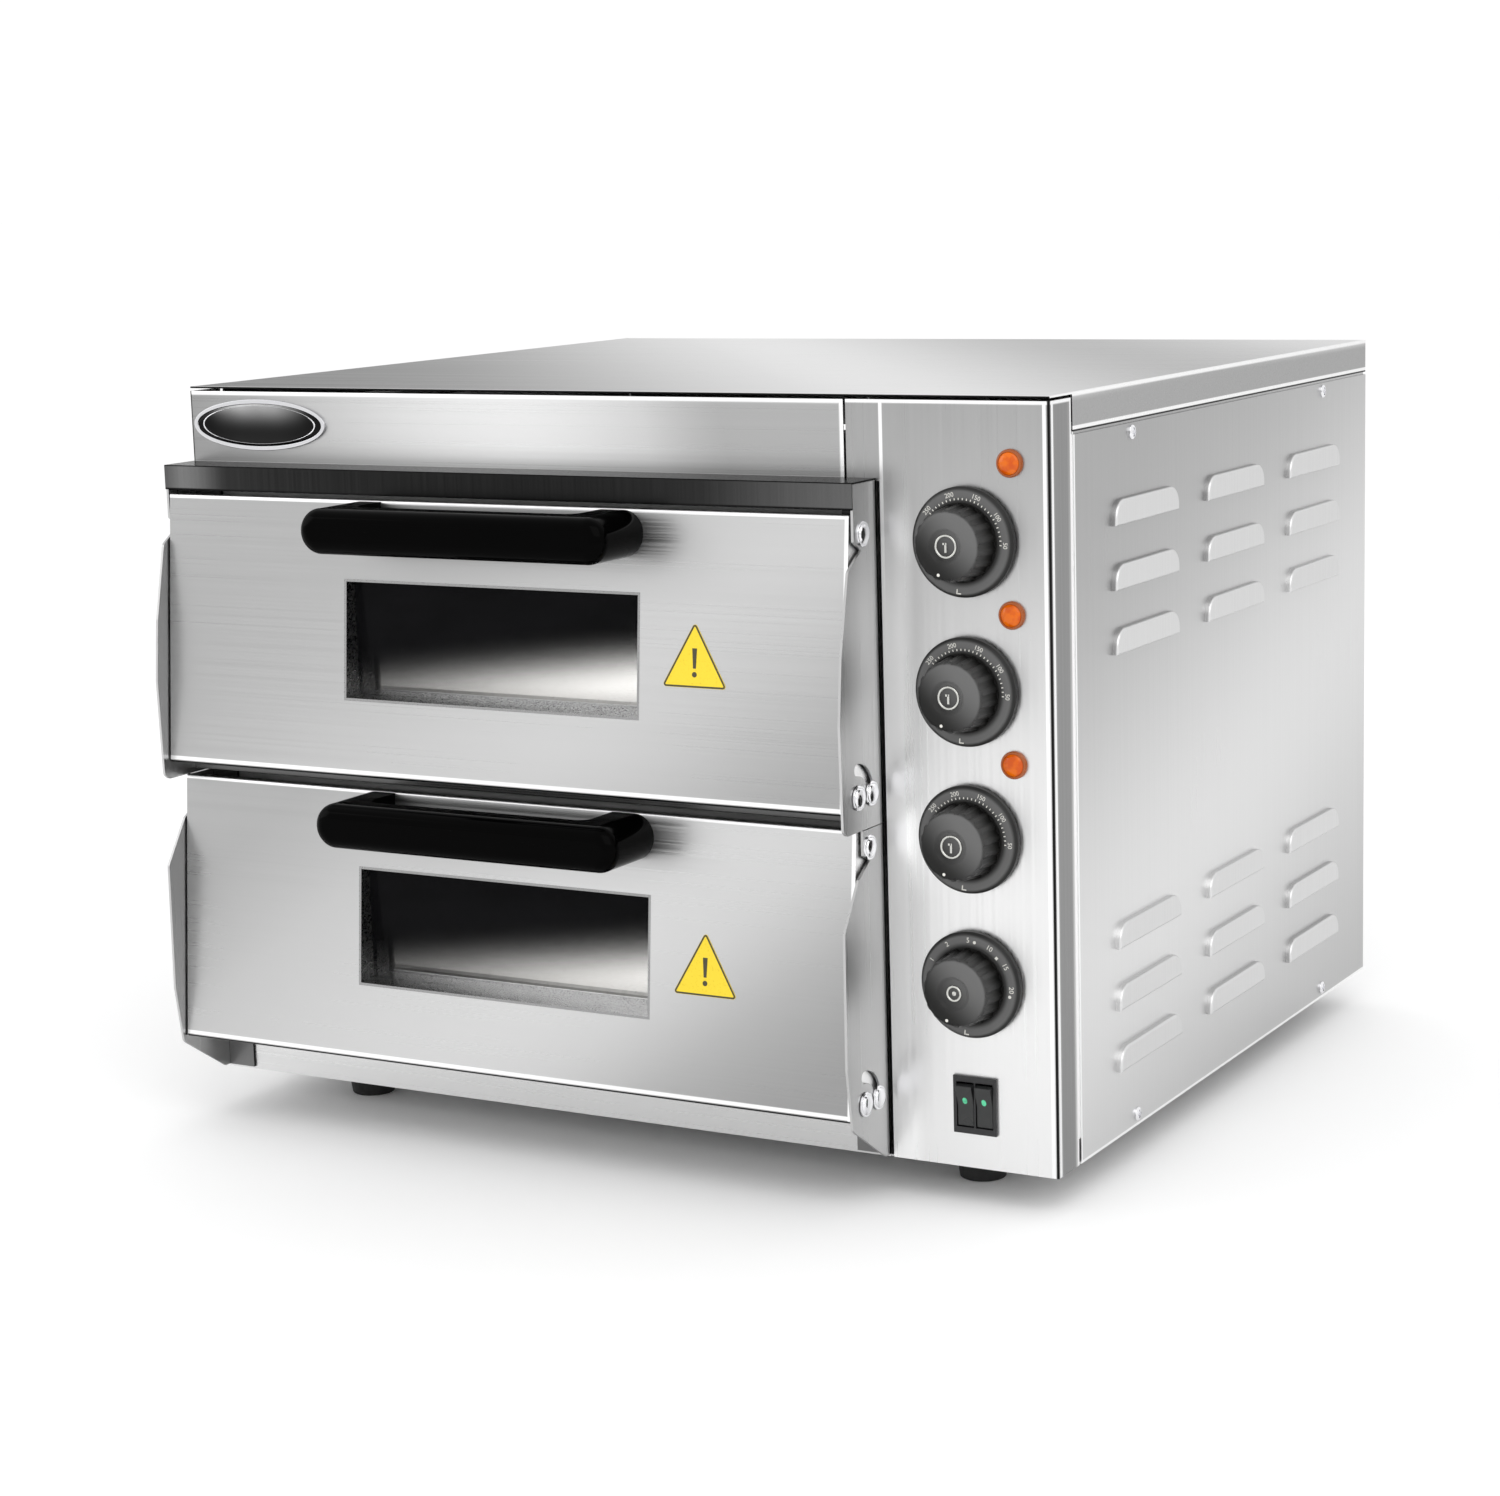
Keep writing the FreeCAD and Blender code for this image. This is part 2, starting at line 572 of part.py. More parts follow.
def louvre_profile(inset):
    """The D outline of a louvre in the YZ plane: flat below, round corners above."""
    left, right = inset, number("louvre_length") - inset
    low, high = inset, number("louvre_height") - inset
    bend = 0.8 * (high - low)
    nook = bend * (1 - math.sqrt(0.5))
    shoulder = high - bend
    edges = [
        Part.LineSegment(Vector(0, left, low), Vector(0, right, low)),
        Part.LineSegment(Vector(0, right, low), Vector(0, right, shoulder)),
        Part.Arc(Vector(0, right, shoulder), Vector(0, right - nook, high - nook),
                 Vector(0, right - bend, high)),
        Part.LineSegment(Vector(0, right - bend, high), Vector(0, left + bend, high)),
        Part.Arc(Vector(0, left + bend, high), Vector(0, left + nook, high - nook),
                 Vector(0, left, shoulder)),
        Part.LineSegment(Vector(0, left, shoulder), Vector(0, left, low)),
    ]
    return Part.Face(Part.Wire([edge.toShape() for edge in edges]))


def side_panel(side):
    """A flat side sheet with two groups of louvres pressed outwards, open along their lower edges."""
    sheet = number("sheet")
    rise = number("louvre_rise")
    y_front = number(inward("wrap_depth + side_gap"))
    y_rear = number(REAR)
    z_low = number(UNDER)
    z_high = number(f"{SKIRT_FOOT} - seam")
    plate = Part.makeBox(sheet, y_rear - y_front, z_high - z_low, Vector(0, y_front, z_low))
    tongue_reach = number("side_gap + side_tongue")
    tongue_foot = z_low + number("base_flange")
    tongue = Part.makeBox(sheet, tongue_reach + sheet, z_high - tongue_foot,
                          Vector(-sheet, y_front - tongue_reach, tongue_foot))
    lip = number("side_lip")
    lip_length = y_rear - y_front - 2 * sheet
    top_lip = Part.makeBox(lip, lip_length, sheet, Vector(-lip, y_front, z_high - sheet))
    upper_tongue = Part.makeBox(sheet, lip_length, number("seam + side_tongue"),
                                Vector(-sheet, y_front, z_high - sheet))
    panel = plate.fuse([tongue, top_lip, upper_tongue])
    hood = louvre_profile(0).extrude(Vector(rise + sheet / 2, 0, 0))
    outer_edges = [edge for edge in hood.Edges if edge.BoundBox.XMin > rise]
    hood = hood.makeFillet(0.45 * rise, outer_edges)
    wall = number("louvre_wall")
    hollow = louvre_profile(wall).extrude(Vector(rise + sheet - wall, 0, 0))
    hollow.translate(Vector(-sheet / 2, 0, 0))
    mouth = Part.makeBox(rise - wall, number("louvre_length - 2 * louvre_end"), 2 * wall,
                         Vector(sheet / 2, number("louvre_end"), -wall / 2))
    hoods = []
    hollows = []
    for column in range(int(number("louvre_columns"))):
        for group in (0, 1):
            for line in range(int(number("louvre_rows"))):
                y = number(inward(f"louvre_start + {column} * louvre_column_pitch"))
                z = number(above(f"louvre_top_z - {group} * louvre_group_drop - {line} * louvre_row_pitch"))
                place = Vector(sheet / 2, y, z)
                hoods.append(hood.translated(place))
                hollows.append(hollow.translated(place))
                hollows.append(mouth.translated(place))
    panel = panel.fuse(hoods).cut(hollows)
    screw_hole = number("screw_radius + hole_gap")
    for y, z in side_screw_places():
        start = Vector(-lip, number(inward(y)), number(z))
        hole = Part.makeCylinder(screw_hole, 2 * lip, start, Vector(1, 0, 0))
        panel = panel.cut(hole)
    panel = panel.removeSplitter()
    panel.translate(Vector(number(f"{RIGHT} - sheet"), 0, 0))
    if side == "left":
        panel = panel.mirror(Vector(), Vector(1, 0, 0))
    item = doc.addObject("Part::Feature", f"{side}_side_panel")
    item.Shape = panel
    subpart(f"{side}_side_panel", item)


def top_cover():
    plate = box("cover_plate", (LEFT, RIGHT), (FRONT, REAR), (f"{TOP} - sheet", TOP))
    skirts = [
        box(f"cover_skirt_{side}", case_span(side, "0", "sheet"), (inward("wrap_depth + side_gap"), REAR),
            (SKIRT_FOOT, TOP))
        for side in ("left", "right")
    ]
    rear = box("cover_skirt_rear", (LEFT, RIGHT), (f"{REAR} - sheet", REAR), (SKIRT_FOOT, TOP))
    subpart("top_cover", fused("top_cover", [plate, rear] + skirts))


def rear_panel():
    """A flat rear sheet between the side panels, with slots to let warm air out."""
    plate = box("rear_plate", (across("sheet + hole_gap"), f"{RIGHT} - sheet - hole_gap"),
                (f"{REAR} - sheet", REAR), (UNDER, f"{SKIRT_FOOT} - seam"))
    gland_hole = rod("rear_gland_hole", "Y", "gland_radius - gland_neck + hole_gap", across("gland_x"),
                     f"({REAR} - drill)", above("gland_z"), "2 * drill")
    slots = [
        box(f"rear_slot_{group}_{line}",
            (across(f"slot_x + {group} * slot_column_pitch"),
             across(f"slot_x + slot_length + {group} * slot_column_pitch")),
            (f"{REAR} - 2 * sheet", f"{REAR} + sheet"),
            (above(f"slot_z + {line} * slot_row_pitch"),
             above(f"slot_z + slot_height + {line} * slot_row_pitch")))
        for group in range(2) for line in range(4)
    ]
    subpart("rear_panel", cut("rear_panel", plate, [gland_hole] + slots))


def front_fascia():
    plate = box("fascia_plate", (LEFT, across("fascia_width")), (FRONT, BACK_OF_PANEL),
                (FASCIA_FOOT, f"{TOP} - sheet - seam"))
    fold = box("fascia_fold", (LEFT, across("sheet")), (FRONT, inward("wrap_depth")),
               (FASCIA_FOOT, f"{TOP} - sheet - seam"))
    subpart("front_fascia", fused("front_fascia", [plate, fold]))


def front_frame():
    """The sheet behind the doors, with a mouth for each chamber."""
    low, high = above("rail_height + seam"), f"{FASCIA_FOOT} - hole_gap"
    plate = box("frame_plate", (LEFT, BAY_RIGHT), (FRONT, BACK_OF_PANEL), (low, high))
    fold = box("frame_fold", (LEFT, across("sheet")), (FRONT, inward("wrap_depth")), (low, high))
    half = "(chamber_width / 2 - mouth_trim)"
    mouths = [
        box(f"frame_mouth_{deck}", (f"{BAY_MIDDLE} - {half}", f"{BAY_MIDDLE} + {half}"),
            (out("sheet"), inward("2 * sheet")),
            (f"{foot} + chamber_rise + mouth_trim", f"{foot} + chamber_rise + chamber_height - mouth_trim"))
        for deck, foot in DOOR_FOOT.items()
    ]
    subpart("front_frame", cut("front_frame", fused("frame_sheet", [plate, fold]), mouths))


KNOBS = ("knob_top", "knob_second", "knob_third", "knob_timer")


def control_places():
    """Heights of the four control shafts, from the top down."""
    return [above(f"knob_top_z - {index} * knob_pitch") for index in range(len(KNOBS))]


def lamp_places():
    """Heights of the lamps: one above each thermostat's shaft, none above the timer's."""
    return [f"({height} + lamp_rise)" for height in control_places()[:-1]]


def control_panel():
    """An L-shaped sheet beside the doors, folded round the right side."""
    upper = box("panel_upper", (across("fascia_width + seam"), RIGHT), (FRONT, BACK_OF_PANEL),
                (FASCIA_FOOT, f"{TOP} - sheet - seam"))
    lower = box("panel_lower", (across("bay_width + seam + panel_gap"), RIGHT), (FRONT, BACK_OF_PANEL),
                (UNDER, f"{TOP} - sheet - seam"))
    fold = box("panel_fold", (f"{RIGHT} - sheet", RIGHT), (FRONT, inward("wrap_depth")),
               (UNDER, f"{TOP} - sheet - seam"))
    shaft_holes = [
        rod(f"panel_shaft_hole_{index}", "Y", "bush_radius + hole_gap",
            across("knob_x"), out("drill"), height, "2 * drill")
        for index, height in enumerate(control_places())
    ]
    lamp_holes = [
        rod(f"panel_lamp_hole_{index}", "Y", "lamp_body_radius + hole_gap",
            across("lamp_x"), out("drill"), height, "2 * drill")
        for index, height in enumerate(lamp_places())
    ]
    half_width, half_height = "(switch_width / 2 - switch_lip)", "(switch_height / 2 - switch_lip)"
    switch_hole = box("panel_switch_hole",
                      (across(f"switch_x - {half_width}"), across(f"switch_x + {half_width}")),
                      (out("drill"), inward("drill")),
                      (above(f"switch_z - {half_height}"), above(f"switch_z + {half_height}")))
    sheet = fused("panel_sheet", [upper, lower, fold])
    subpart("control_panel", cut("control_panel", sheet, shaft_holes + lamp_holes + [switch_hole]))


def lintels():
    """Folded steel strips over the doors: a deep one at the top, a shallow one between the decks."""
    body = body_at("upper_lintel", LEFT, FRONT, LINTEL_FOOT)
    corners = [
        ("0", "lintel_height"), ("-lintel_reach", "lintel_height"), ("-lintel_reach", "0"),
        ("sheet - lintel_reach", "0"), ("sheet - lintel_reach", "lintel_height - sheet"),
        ("0", "lintel_height - sheet"),
    ]
    pad(body, outline(body, "upper_lintel_outline", "YZ_Plane", corners), "bay_width", "upper_lintel_pad")
    subpart("upper_lintel", body)
    body = body_at("lower_lintel", across("cheek_sheet"), FRONT, MID_LINTEL_FOOT)
    corners = [
        ("0", "mid_lintel_height"), ("-mid_lintel_reach", "mid_lintel_height"), ("-mid_lintel_reach", "0"),
        ("0", "0"), ("0", "sheet"), ("sheet - mid_lintel_reach", "sheet"),
        ("sheet - mid_lintel_reach", "mid_lintel_height - sheet"), ("0", "mid_lintel_height - sheet"),
    ]
    pad(body, outline(body, "lower_lintel_outline", "YZ_Plane", corners),
        "bay_width - 2 * cheek_sheet", "lower_lintel_pad")
    subpart("lower_lintel", body)


# ---------------------------------------------------------------- hinge cheeks
# Cheek outlines as (reach in front of the case, height above the door's bottom edge)
DECK_GAP = "(deck_pitch - door_height)"
CHEEK_OUTLINE = {
    "upper": [
        ("0", f"{LINTEL_FOOT} + lintel_height - sheet - {DOOR_FOOT['upper']}"),
        ("lintel_reach - sheet", f"{LINTEL_FOOT} + lintel_height - sheet - {DOOR_FOOT['upper']}"),
        ("lintel_reach - sheet", "door_height - 15"),
        ("lintel_reach - 9", "door_height - 20"),
        ("lintel_reach + 6", "door_height - 30"),
        ("door_foot_reach + 2.6", "door_height - 74"),
        ("door_foot_reach + 6.2", "door_height - 110"),
        ("door_foot_reach + 4.8", f"2 - {DECK_GAP}"),
        ("door_foot_reach + 1", f"-{DECK_GAP} - 1"),
        ("0", f"-{DECK_GAP} - 1"),
    ],
    "lower": [
        ("0", "door_height - 1.5"),
        ("door_top_reach - 3", "door_height - 1.5"),
        ("door_top_reach - 3", "door_height - 15"),
        ("door_top_reach - 10", "door_height - 19"),
        ("door_top_reach + 3", "door_height - 27"),
        ("door_foot_reach + 6", "door_height - 53"),
        ("door_foot_reach + 7", "door_height - 128"),
        ("door_foot_reach + 2", "-3"),
        ("6", "1.5 - lower_door_bottom"),
        ("0", "1.5 - lower_door_bottom"),
    ],
}


def hinge_slot(name, deck, x):
    """The quarter-round slot that the guide bolt runs in."""
    y, z = out("pivot_reach"), f"({DOOR_FOOT[deck]} + pivot_rise)"
    ring = []
    for kind, radius in (("outer", "guide_radius + bolt_radius + slot_gap"),
                         ("inner", "guide_radius - bolt_radius - slot_gap")):
        item = doc.addObject("Part::Cylinder", f"{name}_{kind}")
        item.setExpression("Radius", on_sheet(radius))
        item.setExpression("Height", on_sheet("4 * cheek_sheet"))
        item.setExpression("Angle", on_sheet("door_swing") if kind == "outer" else "360")
        # local +X of the pie lies along +Y, and its angle opens towards +Z
        put(item, x, y, z, Rotation(Vector(0, 1, 0), Vector(0, 0, 1), Vector(1, 0, 0), "ZXY"))
        ring.append(item)
    ends = []
    for index, angle in enumerate(("0", "door_swing")):
        ends.append(rod(f"{name}_end_{index}", "X", "bolt_radius + slot_gap", x,
                        f"{y} + guide_radius * cos({angle} * 1deg)",
                        f"{z} + guide_radius * sin({angle} * 1deg)", "4 * cheek_sheet"))
    return fused(name, [cut(f"{name}_ring", ring[0], [ring[1]])] + ends)


def cheek(deck, side):
    """A fixed side plate with the pivot hole, the guide slot and a flange on the front frame."""
    name = f"{deck}_{side}_cheek"
    foot = DOOR_FOOT[deck]
    near = bay_span(side, "0", "cheek_sheet")[0]
    body = body_at(f"{name}_plate", near, FRONT, foot)
    corners = [(f"-({reach})", height) for reach, height in CHEEK_OUTLINE[deck]]
    plate = pad(body, outline(body, f"{name}_outline", "YZ_Plane", corners), "cheek_sheet", f"{name}_pad")
    rounded = {"upper": (4, 5, 6, 7, 8), "lower": (5, 6, 7)}[deck]
    spots = [(number(corners[index][0]), number(corners[index][1])) for index in rounded]

    def chosen(edge):
        if not runs_along(edge, Vector(1, 0, 0)):
            return False
        middle = edge.BoundBox.Center
        return any(math.hypot(middle.y - y, middle.z - z) < 0.01 for y, z in spots)

    dress(body, "Fillet", plate, chosen, "2.5 * cheek_sheet", f"{name}_rounding")
    low = {"upper": "0", "lower": "1.5 - lower_door_bottom"}[deck]
    high = {"upper": f"{FASCIA_FOOT} - seam - {foot}", "lower": "door_height - 1.5"}[deck]
    flange = box(f"{name}_flange", bay_span(side, "0", "cheek_flange"), (out("cheek_sheet"), FRONT),
                 (f"{foot} + ({low})", f"{foot} + ({high})"))
    start = f"({near} - cheek_sheet)"
    pivot = rod(f"{name}_pivot_hole", "X", "bolt_radius + pivot_gap", start, out("pivot_reach"),
                f"({foot} + pivot_rise)", "4 * cheek_sheet")
    top_hole = rod(f"{name}_top_hole", "X", "bolt_radius + pivot_gap", start, out("top_bolt_reach"),
                   f"({foot} + door_height - top_bolt_drop)", "4 * cheek_sheet")
    whole = fused(f"{name}_sheet", [body, flange])
    subpart(name, cut(name, whole, [pivot, top_hole, hinge_slot(f"{name}_slot", deck, start)]))


def top_bolts():
    """Round-headed bolts through the top of each cheek, with a nut on the inside."""
    pieces = []
    for deck, foot in DOOR_FOOT.items():
        y, z = out("top_bolt_reach"), f"({foot} + door_height - top_bolt_drop)"
        for side in ("left", "right"):
            name = f"top_bolt_{deck}_{side}"
            shank = bay_span(side, "-bolt_head_height", "cheek_sheet + door_side_gap / 2")
            head = bay_span(side, "-bolt_head_height", "0")
            pieces.append(fused(name, [
                rod(f"{name}_shank", "X", "bolt_radius", shank[0], y, z, f"({shank[1]}) - ({shank[0]})"),
                rod(f"{name}_head", "X", "bolt_head_radius", head[0], y, z, f"({head[1]}) - ({head[0]})"),
            ]))
    subpart("cheek_bolts", grouped("cheek_bolts", pieces))


# ---------------------------------------------------------------- doors
def door_face_reach(height):
    """How far the door's leaning front face stands in front of the case at a height above its foot."""
    return f"(door_foot_reach - (door_foot_reach - door_top_reach) * ({height}) / door_height)"


def door_outer(deck):
    """A folded pan: leaning front face, top, underside and two ends, open at the back."""
    name = f"{deck}_door_outer"
    body = body_at(name, DOOR_LEFT, FRONT, DOOR_FOOT[deck])
    back = "-(door_back_gap + door_sheet)"
    corners = [
        (back, "door_back_rise"), ("-door_foot_reach", "0"), ("-door_top_reach", "door_height"),
        (back, "door_height - door_back_drop"),
    ]
    block = pad(body, outline(body, f"{name}_outline", "YZ_Plane", corners), DOOR_WIDTH, f"{name}_pad")

    def chosen(edge):
        return runs_along(edge, Vector(1, 0, 0)) and edge.BoundBox.Center.y < number("-door_top_reach + 1")

    dress(body, "Fillet", block, chosen, "1.5 * door_sheet", f"{name}_folds")
    inside = [
        ("sheet", "door_back_rise + door_sheet"), ("door_sheet - door_foot_reach", "2 * door_sheet"),
        ("door_sheet - door_top_reach", "door_height - 2 * door_sheet"),
        ("sheet", "door_height - door_back_drop - door_sheet"),
    ]
    hollow = outline(body, f"{name}_inside", "YZ_Plane", inside, "door_sheet")
    pocket(body, hollow, f"{DOOR_WIDTH} - 2 * door_sheet", f"{name}_hollow", backwards=True)
    edge_left = f"({DOOR_WIDTH} / 2 - window_width / 2)"
    edge_right = f"({DOOR_WIDTH} / 2 + window_width / 2)"
    window = outline(body, f"{name}_window", "XZ_Plane", [
        (edge_left, "window_rise"), (edge_right, "window_rise"),
        (edge_right, "window_rise + window_height"), (edge_left, "window_rise + window_height"),
    ])
    pocket(body, window, "2 * door_foot_reach", f"{name}_window_cut", backwards=True)
    screws = circles(body, f"{name}_screws", "XZ_Plane", "handle_screw_radius + hole_gap",
                     handle_screw_places())
    pocket(body, screws, "2 * door_foot_reach", f"{name}_screw_cut", backwards=True)
    hinge = circles(body, f"{name}_hinge", "YZ_Plane", "bolt_radius + pivot_gap", [
        ("-pivot_reach", "pivot_rise"), ("guide_radius - pivot_reach", "pivot_rise"),
    ])
    pocket(body, hinge, DOOR_WIDTH, f"{name}_hinge_cut", backwards=True)
    subpart(name, body)


def handle_screw_places():
    """Handle screws as (along the door, above its foot)."""
    reach = "(handle_length / 2 - handle_leg / 2)"
    height = "handle_rise + handle_height / 2"
    return [(f"{DOOR_WIDTH} / 2 - {reach}", height), (f"{DOOR_WIDTH} / 2 + {reach}", height)]


def window_faces(inset):
    """The window's opening as x and z spans in a door, drawn in by an inset; z is above the door's foot."""
    middle = f"({DOOR_LEFT} + {DOOR_WIDTH} / 2)"
    half = f"(window_width / 2 - {inset})"
    return (f"{middle} - {half}", f"{middle} + {half}"), \
        (f"window_rise + {inset}", f"window_rise + window_height - {inset}")


def door_inner(deck):
    """The flat sheet that closes the pan's back, with the window's opening."""
    name = f"{deck}_door_inner"
    foot = DOOR_FOOT[deck]
    plate = box(f"{name}_plate", (DOOR_LEFT, f"{DOOR_LEFT} + {DOOR_WIDTH}"),
                (out("door_back_gap + door_sheet"), out("door_back_gap")),
                (f"{foot} + door_back_rise", f"{foot} + door_height - door_back_drop"))
    x, z = window_faces("trim_wall")
    opening = box(f"{name}_opening", x, (out("door_back_gap + 2 * door_sheet"), FRONT),
                  (f"{foot} + {z[0]}", f"{foot} + {z[1]}"))
    subpart(name, cut(name, plate, [opening]))


def window_trim(deck):
    """A steel sleeve between the two door sheets; its front follows the leaning face."""
    name = f"{deck}_window_trim"
    body = body_at(name, f"{DOOR_LEFT} + {DOOR_WIDTH} / 2 - window_width / 2 + pivot_gap",
                   FRONT, DOOR_FOOT[deck])
    low, high = "(window_rise + pivot_gap)", "(window_rise + window_height - pivot_gap)"
    back = "-(door_back_gap + door_sheet)"
    sleeve = [
        (back, low), (f"-{door_face_reach(low)}", low), (f"-{door_face_reach(high)}", high), (back, high),
    ]
    pad(body, outline(body, f"{name}_outline", "YZ_Plane", sleeve), "window_width - 2 * pivot_gap",
        f"{name}_pad")
    right = "(window_width - trim_wall - pivot_gap)"
    inside = outline(body, f"{name}_inside", "XZ_Plane", [
        ("trim_wall", "window_rise + trim_wall"), (right, "window_rise + trim_wall"),
        (right, "window_rise + window_height - trim_wall"),
        ("trim_wall", "window_rise + window_height - trim_wall"),
    ])
    pocket(body, inside, "2 * door_foot_reach", f"{name}_cut", backwards=True)
    subpart(name, body)


def glass_panes(deck):
    """Two panes held in the sleeve."""
    foot = DOOR_FOOT[deck]
    x, z = window_faces("(trim_wall + hole_gap / 2)")
    panes = [
        box(f"{deck}_glass_{which}", x, (out(reach), out(f"{reach} - glass_thick")),
            (f"{foot} + {z[0]}", f"{foot} + {z[1]}"))
        for which, reach in (("outer", "outer_glass_reach"), ("inner", "inner_glass_reach"))
    ]
    subpart(f"{deck}_door_glass", grouped(f"{deck}_door_glass", panes))


def handle(deck):
    """A moulded pull: a bar with round ends on two legs that follow the leaning face."""
    name = f"{deck}_door_handle"
    body = body_at(name, f"{BAY_MIDDLE} - handle_length / 2", FRONT,
                   f"{DOOR_FOOT[deck]} + handle_rise")
    corners = [
        ("0", "0"), ("handle_length", "0"), ("handle_length", "handle_height"), ("0", "handle_height"),
    ]
    reach_low, reach_high = (door_face_reach(f"handle_rise + {part}") for part in ("0", "handle_height"))
    block = pad(body, outline(body, f"{name}_outline", "XZ_Plane", corners), "handle_front", f"{name}_pad")
    ends = dress(body, "Fillet", block, lambda edge: runs_along(edge, Vector(0, 1, 0)),
                 "(handle_height - handle_end_flat) / 2", f"{name}_ends")
    front = number("-handle_front")
    brow = dress(body, "Fillet", ends, lambda edge: abs(edge.BoundBox.YMax - front) < 0.01,
                 "(handle_bar - handle_nose_flat) / 2", f"{name}_brow")
    gap_left, gap_right = "handle_leg", "(handle_length - handle_leg)"
    gap = outline(body, f"{name}_gap", "XY_Plane", [
        (gap_left, "1"), (gap_right, "1"),
        (gap_right, "handle_bar - handle_front"), (gap_left, "handle_bar - handle_front"),
    ])
    opened = pocket(body, gap, "handle_height", f"{name}_finger_gap", backwards=True)
    inner = number("handle_bar - handle_front")

    def inner_corner(edge):
        return runs_along(edge, Vector(0, 0, 1)) and abs(edge.BoundBox.Center.y - inner) < 0.01

    dress(body, "Fillet", opened, inner_corner, "handle_corner", f"{name}_gap_corners")
    seat = outline(body, f"{name}_seat", "YZ_Plane", [
        ("1", "-1"), (f"-{reach_low} - (door_foot_reach - door_top_reach) / door_height", "-1"),
        (f"-{reach_high} + (door_foot_reach - door_top_reach) / door_height", "handle_height + 1"),
        ("1", "handle_height + 1"),
    ])
    pocket(body, seat, "handle_length", f"{name}_seat_cut", backwards=True)
    screw_x = ["handle_leg / 2", "handle_length - handle_leg / 2"]
    screws = circles(body, f"{name}_screws", "XZ_Plane", "handle_screw_radius + pivot_gap",
                     [(x, "handle_height / 2") for x in screw_x])
    pocket(body, screws, "door_foot_reach + handle_screw_reach + sheet", f"{name}_screw_cut", backwards=True)
    subpart(name, body)


def handle_screws(deck):
    """Two screws from inside the door into the handle's legs."""
    foot = DOOR_FOOT[deck]
    pieces = []
    for index, (x, z) in enumerate(handle_screw_places()):
        name = f"{deck}_handle_screw_{index}"
        face = door_face_reach(z)
        seat = f"({face} - door_sheet - 1)"
        x, z = f"({DOOR_LEFT} + {x})", f"({foot} + {z})"
        pieces.append(fused(name, [
            rod(f"{name}_head", "Y", "handle_screw_head", x, out(seat), z, "handle_screw_cap"),
            rod(f"{name}_shank", "Y", "handle_screw_radius", x, out(f"{face} + handle_screw_reach"), z,
                f"{face} + handle_screw_reach - {seat}"),
        ]))
    subpart(f"{deck}_handle_screws", grouped(f"{deck}_handle_screws", pieces))


def hinge_bolts(deck):
    """A pivot bolt and a guide bolt at each end of the door, fixed to its end walls by nuts."""
    z = f"({DOOR_FOOT[deck]} + pivot_rise)"
    pieces = []
    for side in ("left", "right"):
        for use, reach in (("pivot", "pivot_reach"), ("guide", "pivot_reach - guide_radius")):
            name = f"{deck}_{use}_bolt_{side}"
            head_top = "-(head_gap + bolt_head_height)"
            wall = "(cheek_sheet + door_side_gap + door_sheet)"
            head = bay_span(side, head_top, "-head_gap")
            shank = bay_span(side, head_top, f"{wall} + nut_height + bolt_end")
            nut = bay_span(side, wall, f"{wall} + nut_height")
            rods = [
                rod(f"{name}_{part}", "X", radius, ends[0], out(reach), z, f"({ends[1]}) - ({ends[0]})")
                for part, radius, ends in (("head", "bolt_head_radius", head), ("shank", "bolt_radius", shank),
                                           ("nut", "nut_radius", nut))
            ]
            pieces.append(fused(name, rods))
    subpart(f"{deck}_hinge_bolts", grouped(f"{deck}_hinge_bolts", pieces))


# ---------------------------------------------------------------- baking chambers
def chamber(deck):
    """The inside of a baking chamber as x, y and z spans."""
    floor = f"({DOOR_FOOT[deck]} + chamber_rise)"
    return (
        (f"({BAY_MIDDLE} - chamber_width / 2)", f"({BAY_MIDDLE} + chamber_width / 2)"),
        (BACK_OF_PANEL, f"({BACK_OF_PANEL} + chamber_depth)"),
        (floor, f"({floor} + chamber_height)"),
    )


def grown(spans, by, front="0"):
    """Spans of a chamber with its sides, rear, floor and ceiling moved out; the front by 'front'."""
    x, y, z = spans
    return (f"{x[0]} - ({by})", f"{x[1]} + ({by})"), (f"{y[0]} + ({front})", f"{y[1]} + ({by})"), \
        (f"{z[0]} - ({by})", f"{z[1]} + ({by})")


def element_runs(deck, level):
    """Centres of an element's runs along X: their y places and height."""
    x, y, z = chamber(deck)
    height = f"{z[0]} + element_low" if level == "bottom" else f"{z[1]} - element_high"
    pitch = "((chamber_depth - 2 * element_inset) / (element_legs - 1))"
    return [f"({y[0]} + element_inset + {index} * {pitch})" for index in range(int(number("element_legs")))], \
        f"({height})"


def terminal_holes(name, deck, x_start, length):
    """Clearance holes for the ends of both elements in a wall right of the chamber."""
    holes = []
    for level in ("bottom", "top"):
        runs, height = element_runs(deck, level)
        for index, y in ((0, runs[0]), (1, runs[-1])):
            holes.append(rod(f"{name}_{level}_{index}", "X", "element_radius + hole_gap",
                             x_start, y, height, length))
    return holes


def bulb_places():
    """Sensor bulbs as (deck, distance behind the front, height): two ceilings and the lower floor."""
    upper, lower = chamber("upper"), chamber("lower")
    return [
        (f"({upper[1][1]} - bulb_rear_gap)", f"({upper[2][1]} - bulb_drop)"),
        (f"({lower[1][1]} - bulb_rear_gap)", f"({lower[2][1]} - bulb_drop)"),
        (f"({lower[1][1]} - bulb_rear_gap)", f"({lower[2][0]} + bulb_rise)"),
    ]


def bulb_holes(name, deck, x_start, length):
    places = bulb_places()[:1] if deck == "upper" else bulb_places()[1:]
    return [
        rod(f"{name}_bulb_{index}", "X", "capillary_radius + hole_gap", x_start, y, z, length)
        for index, (y, z) in enumerate(places)
    ]


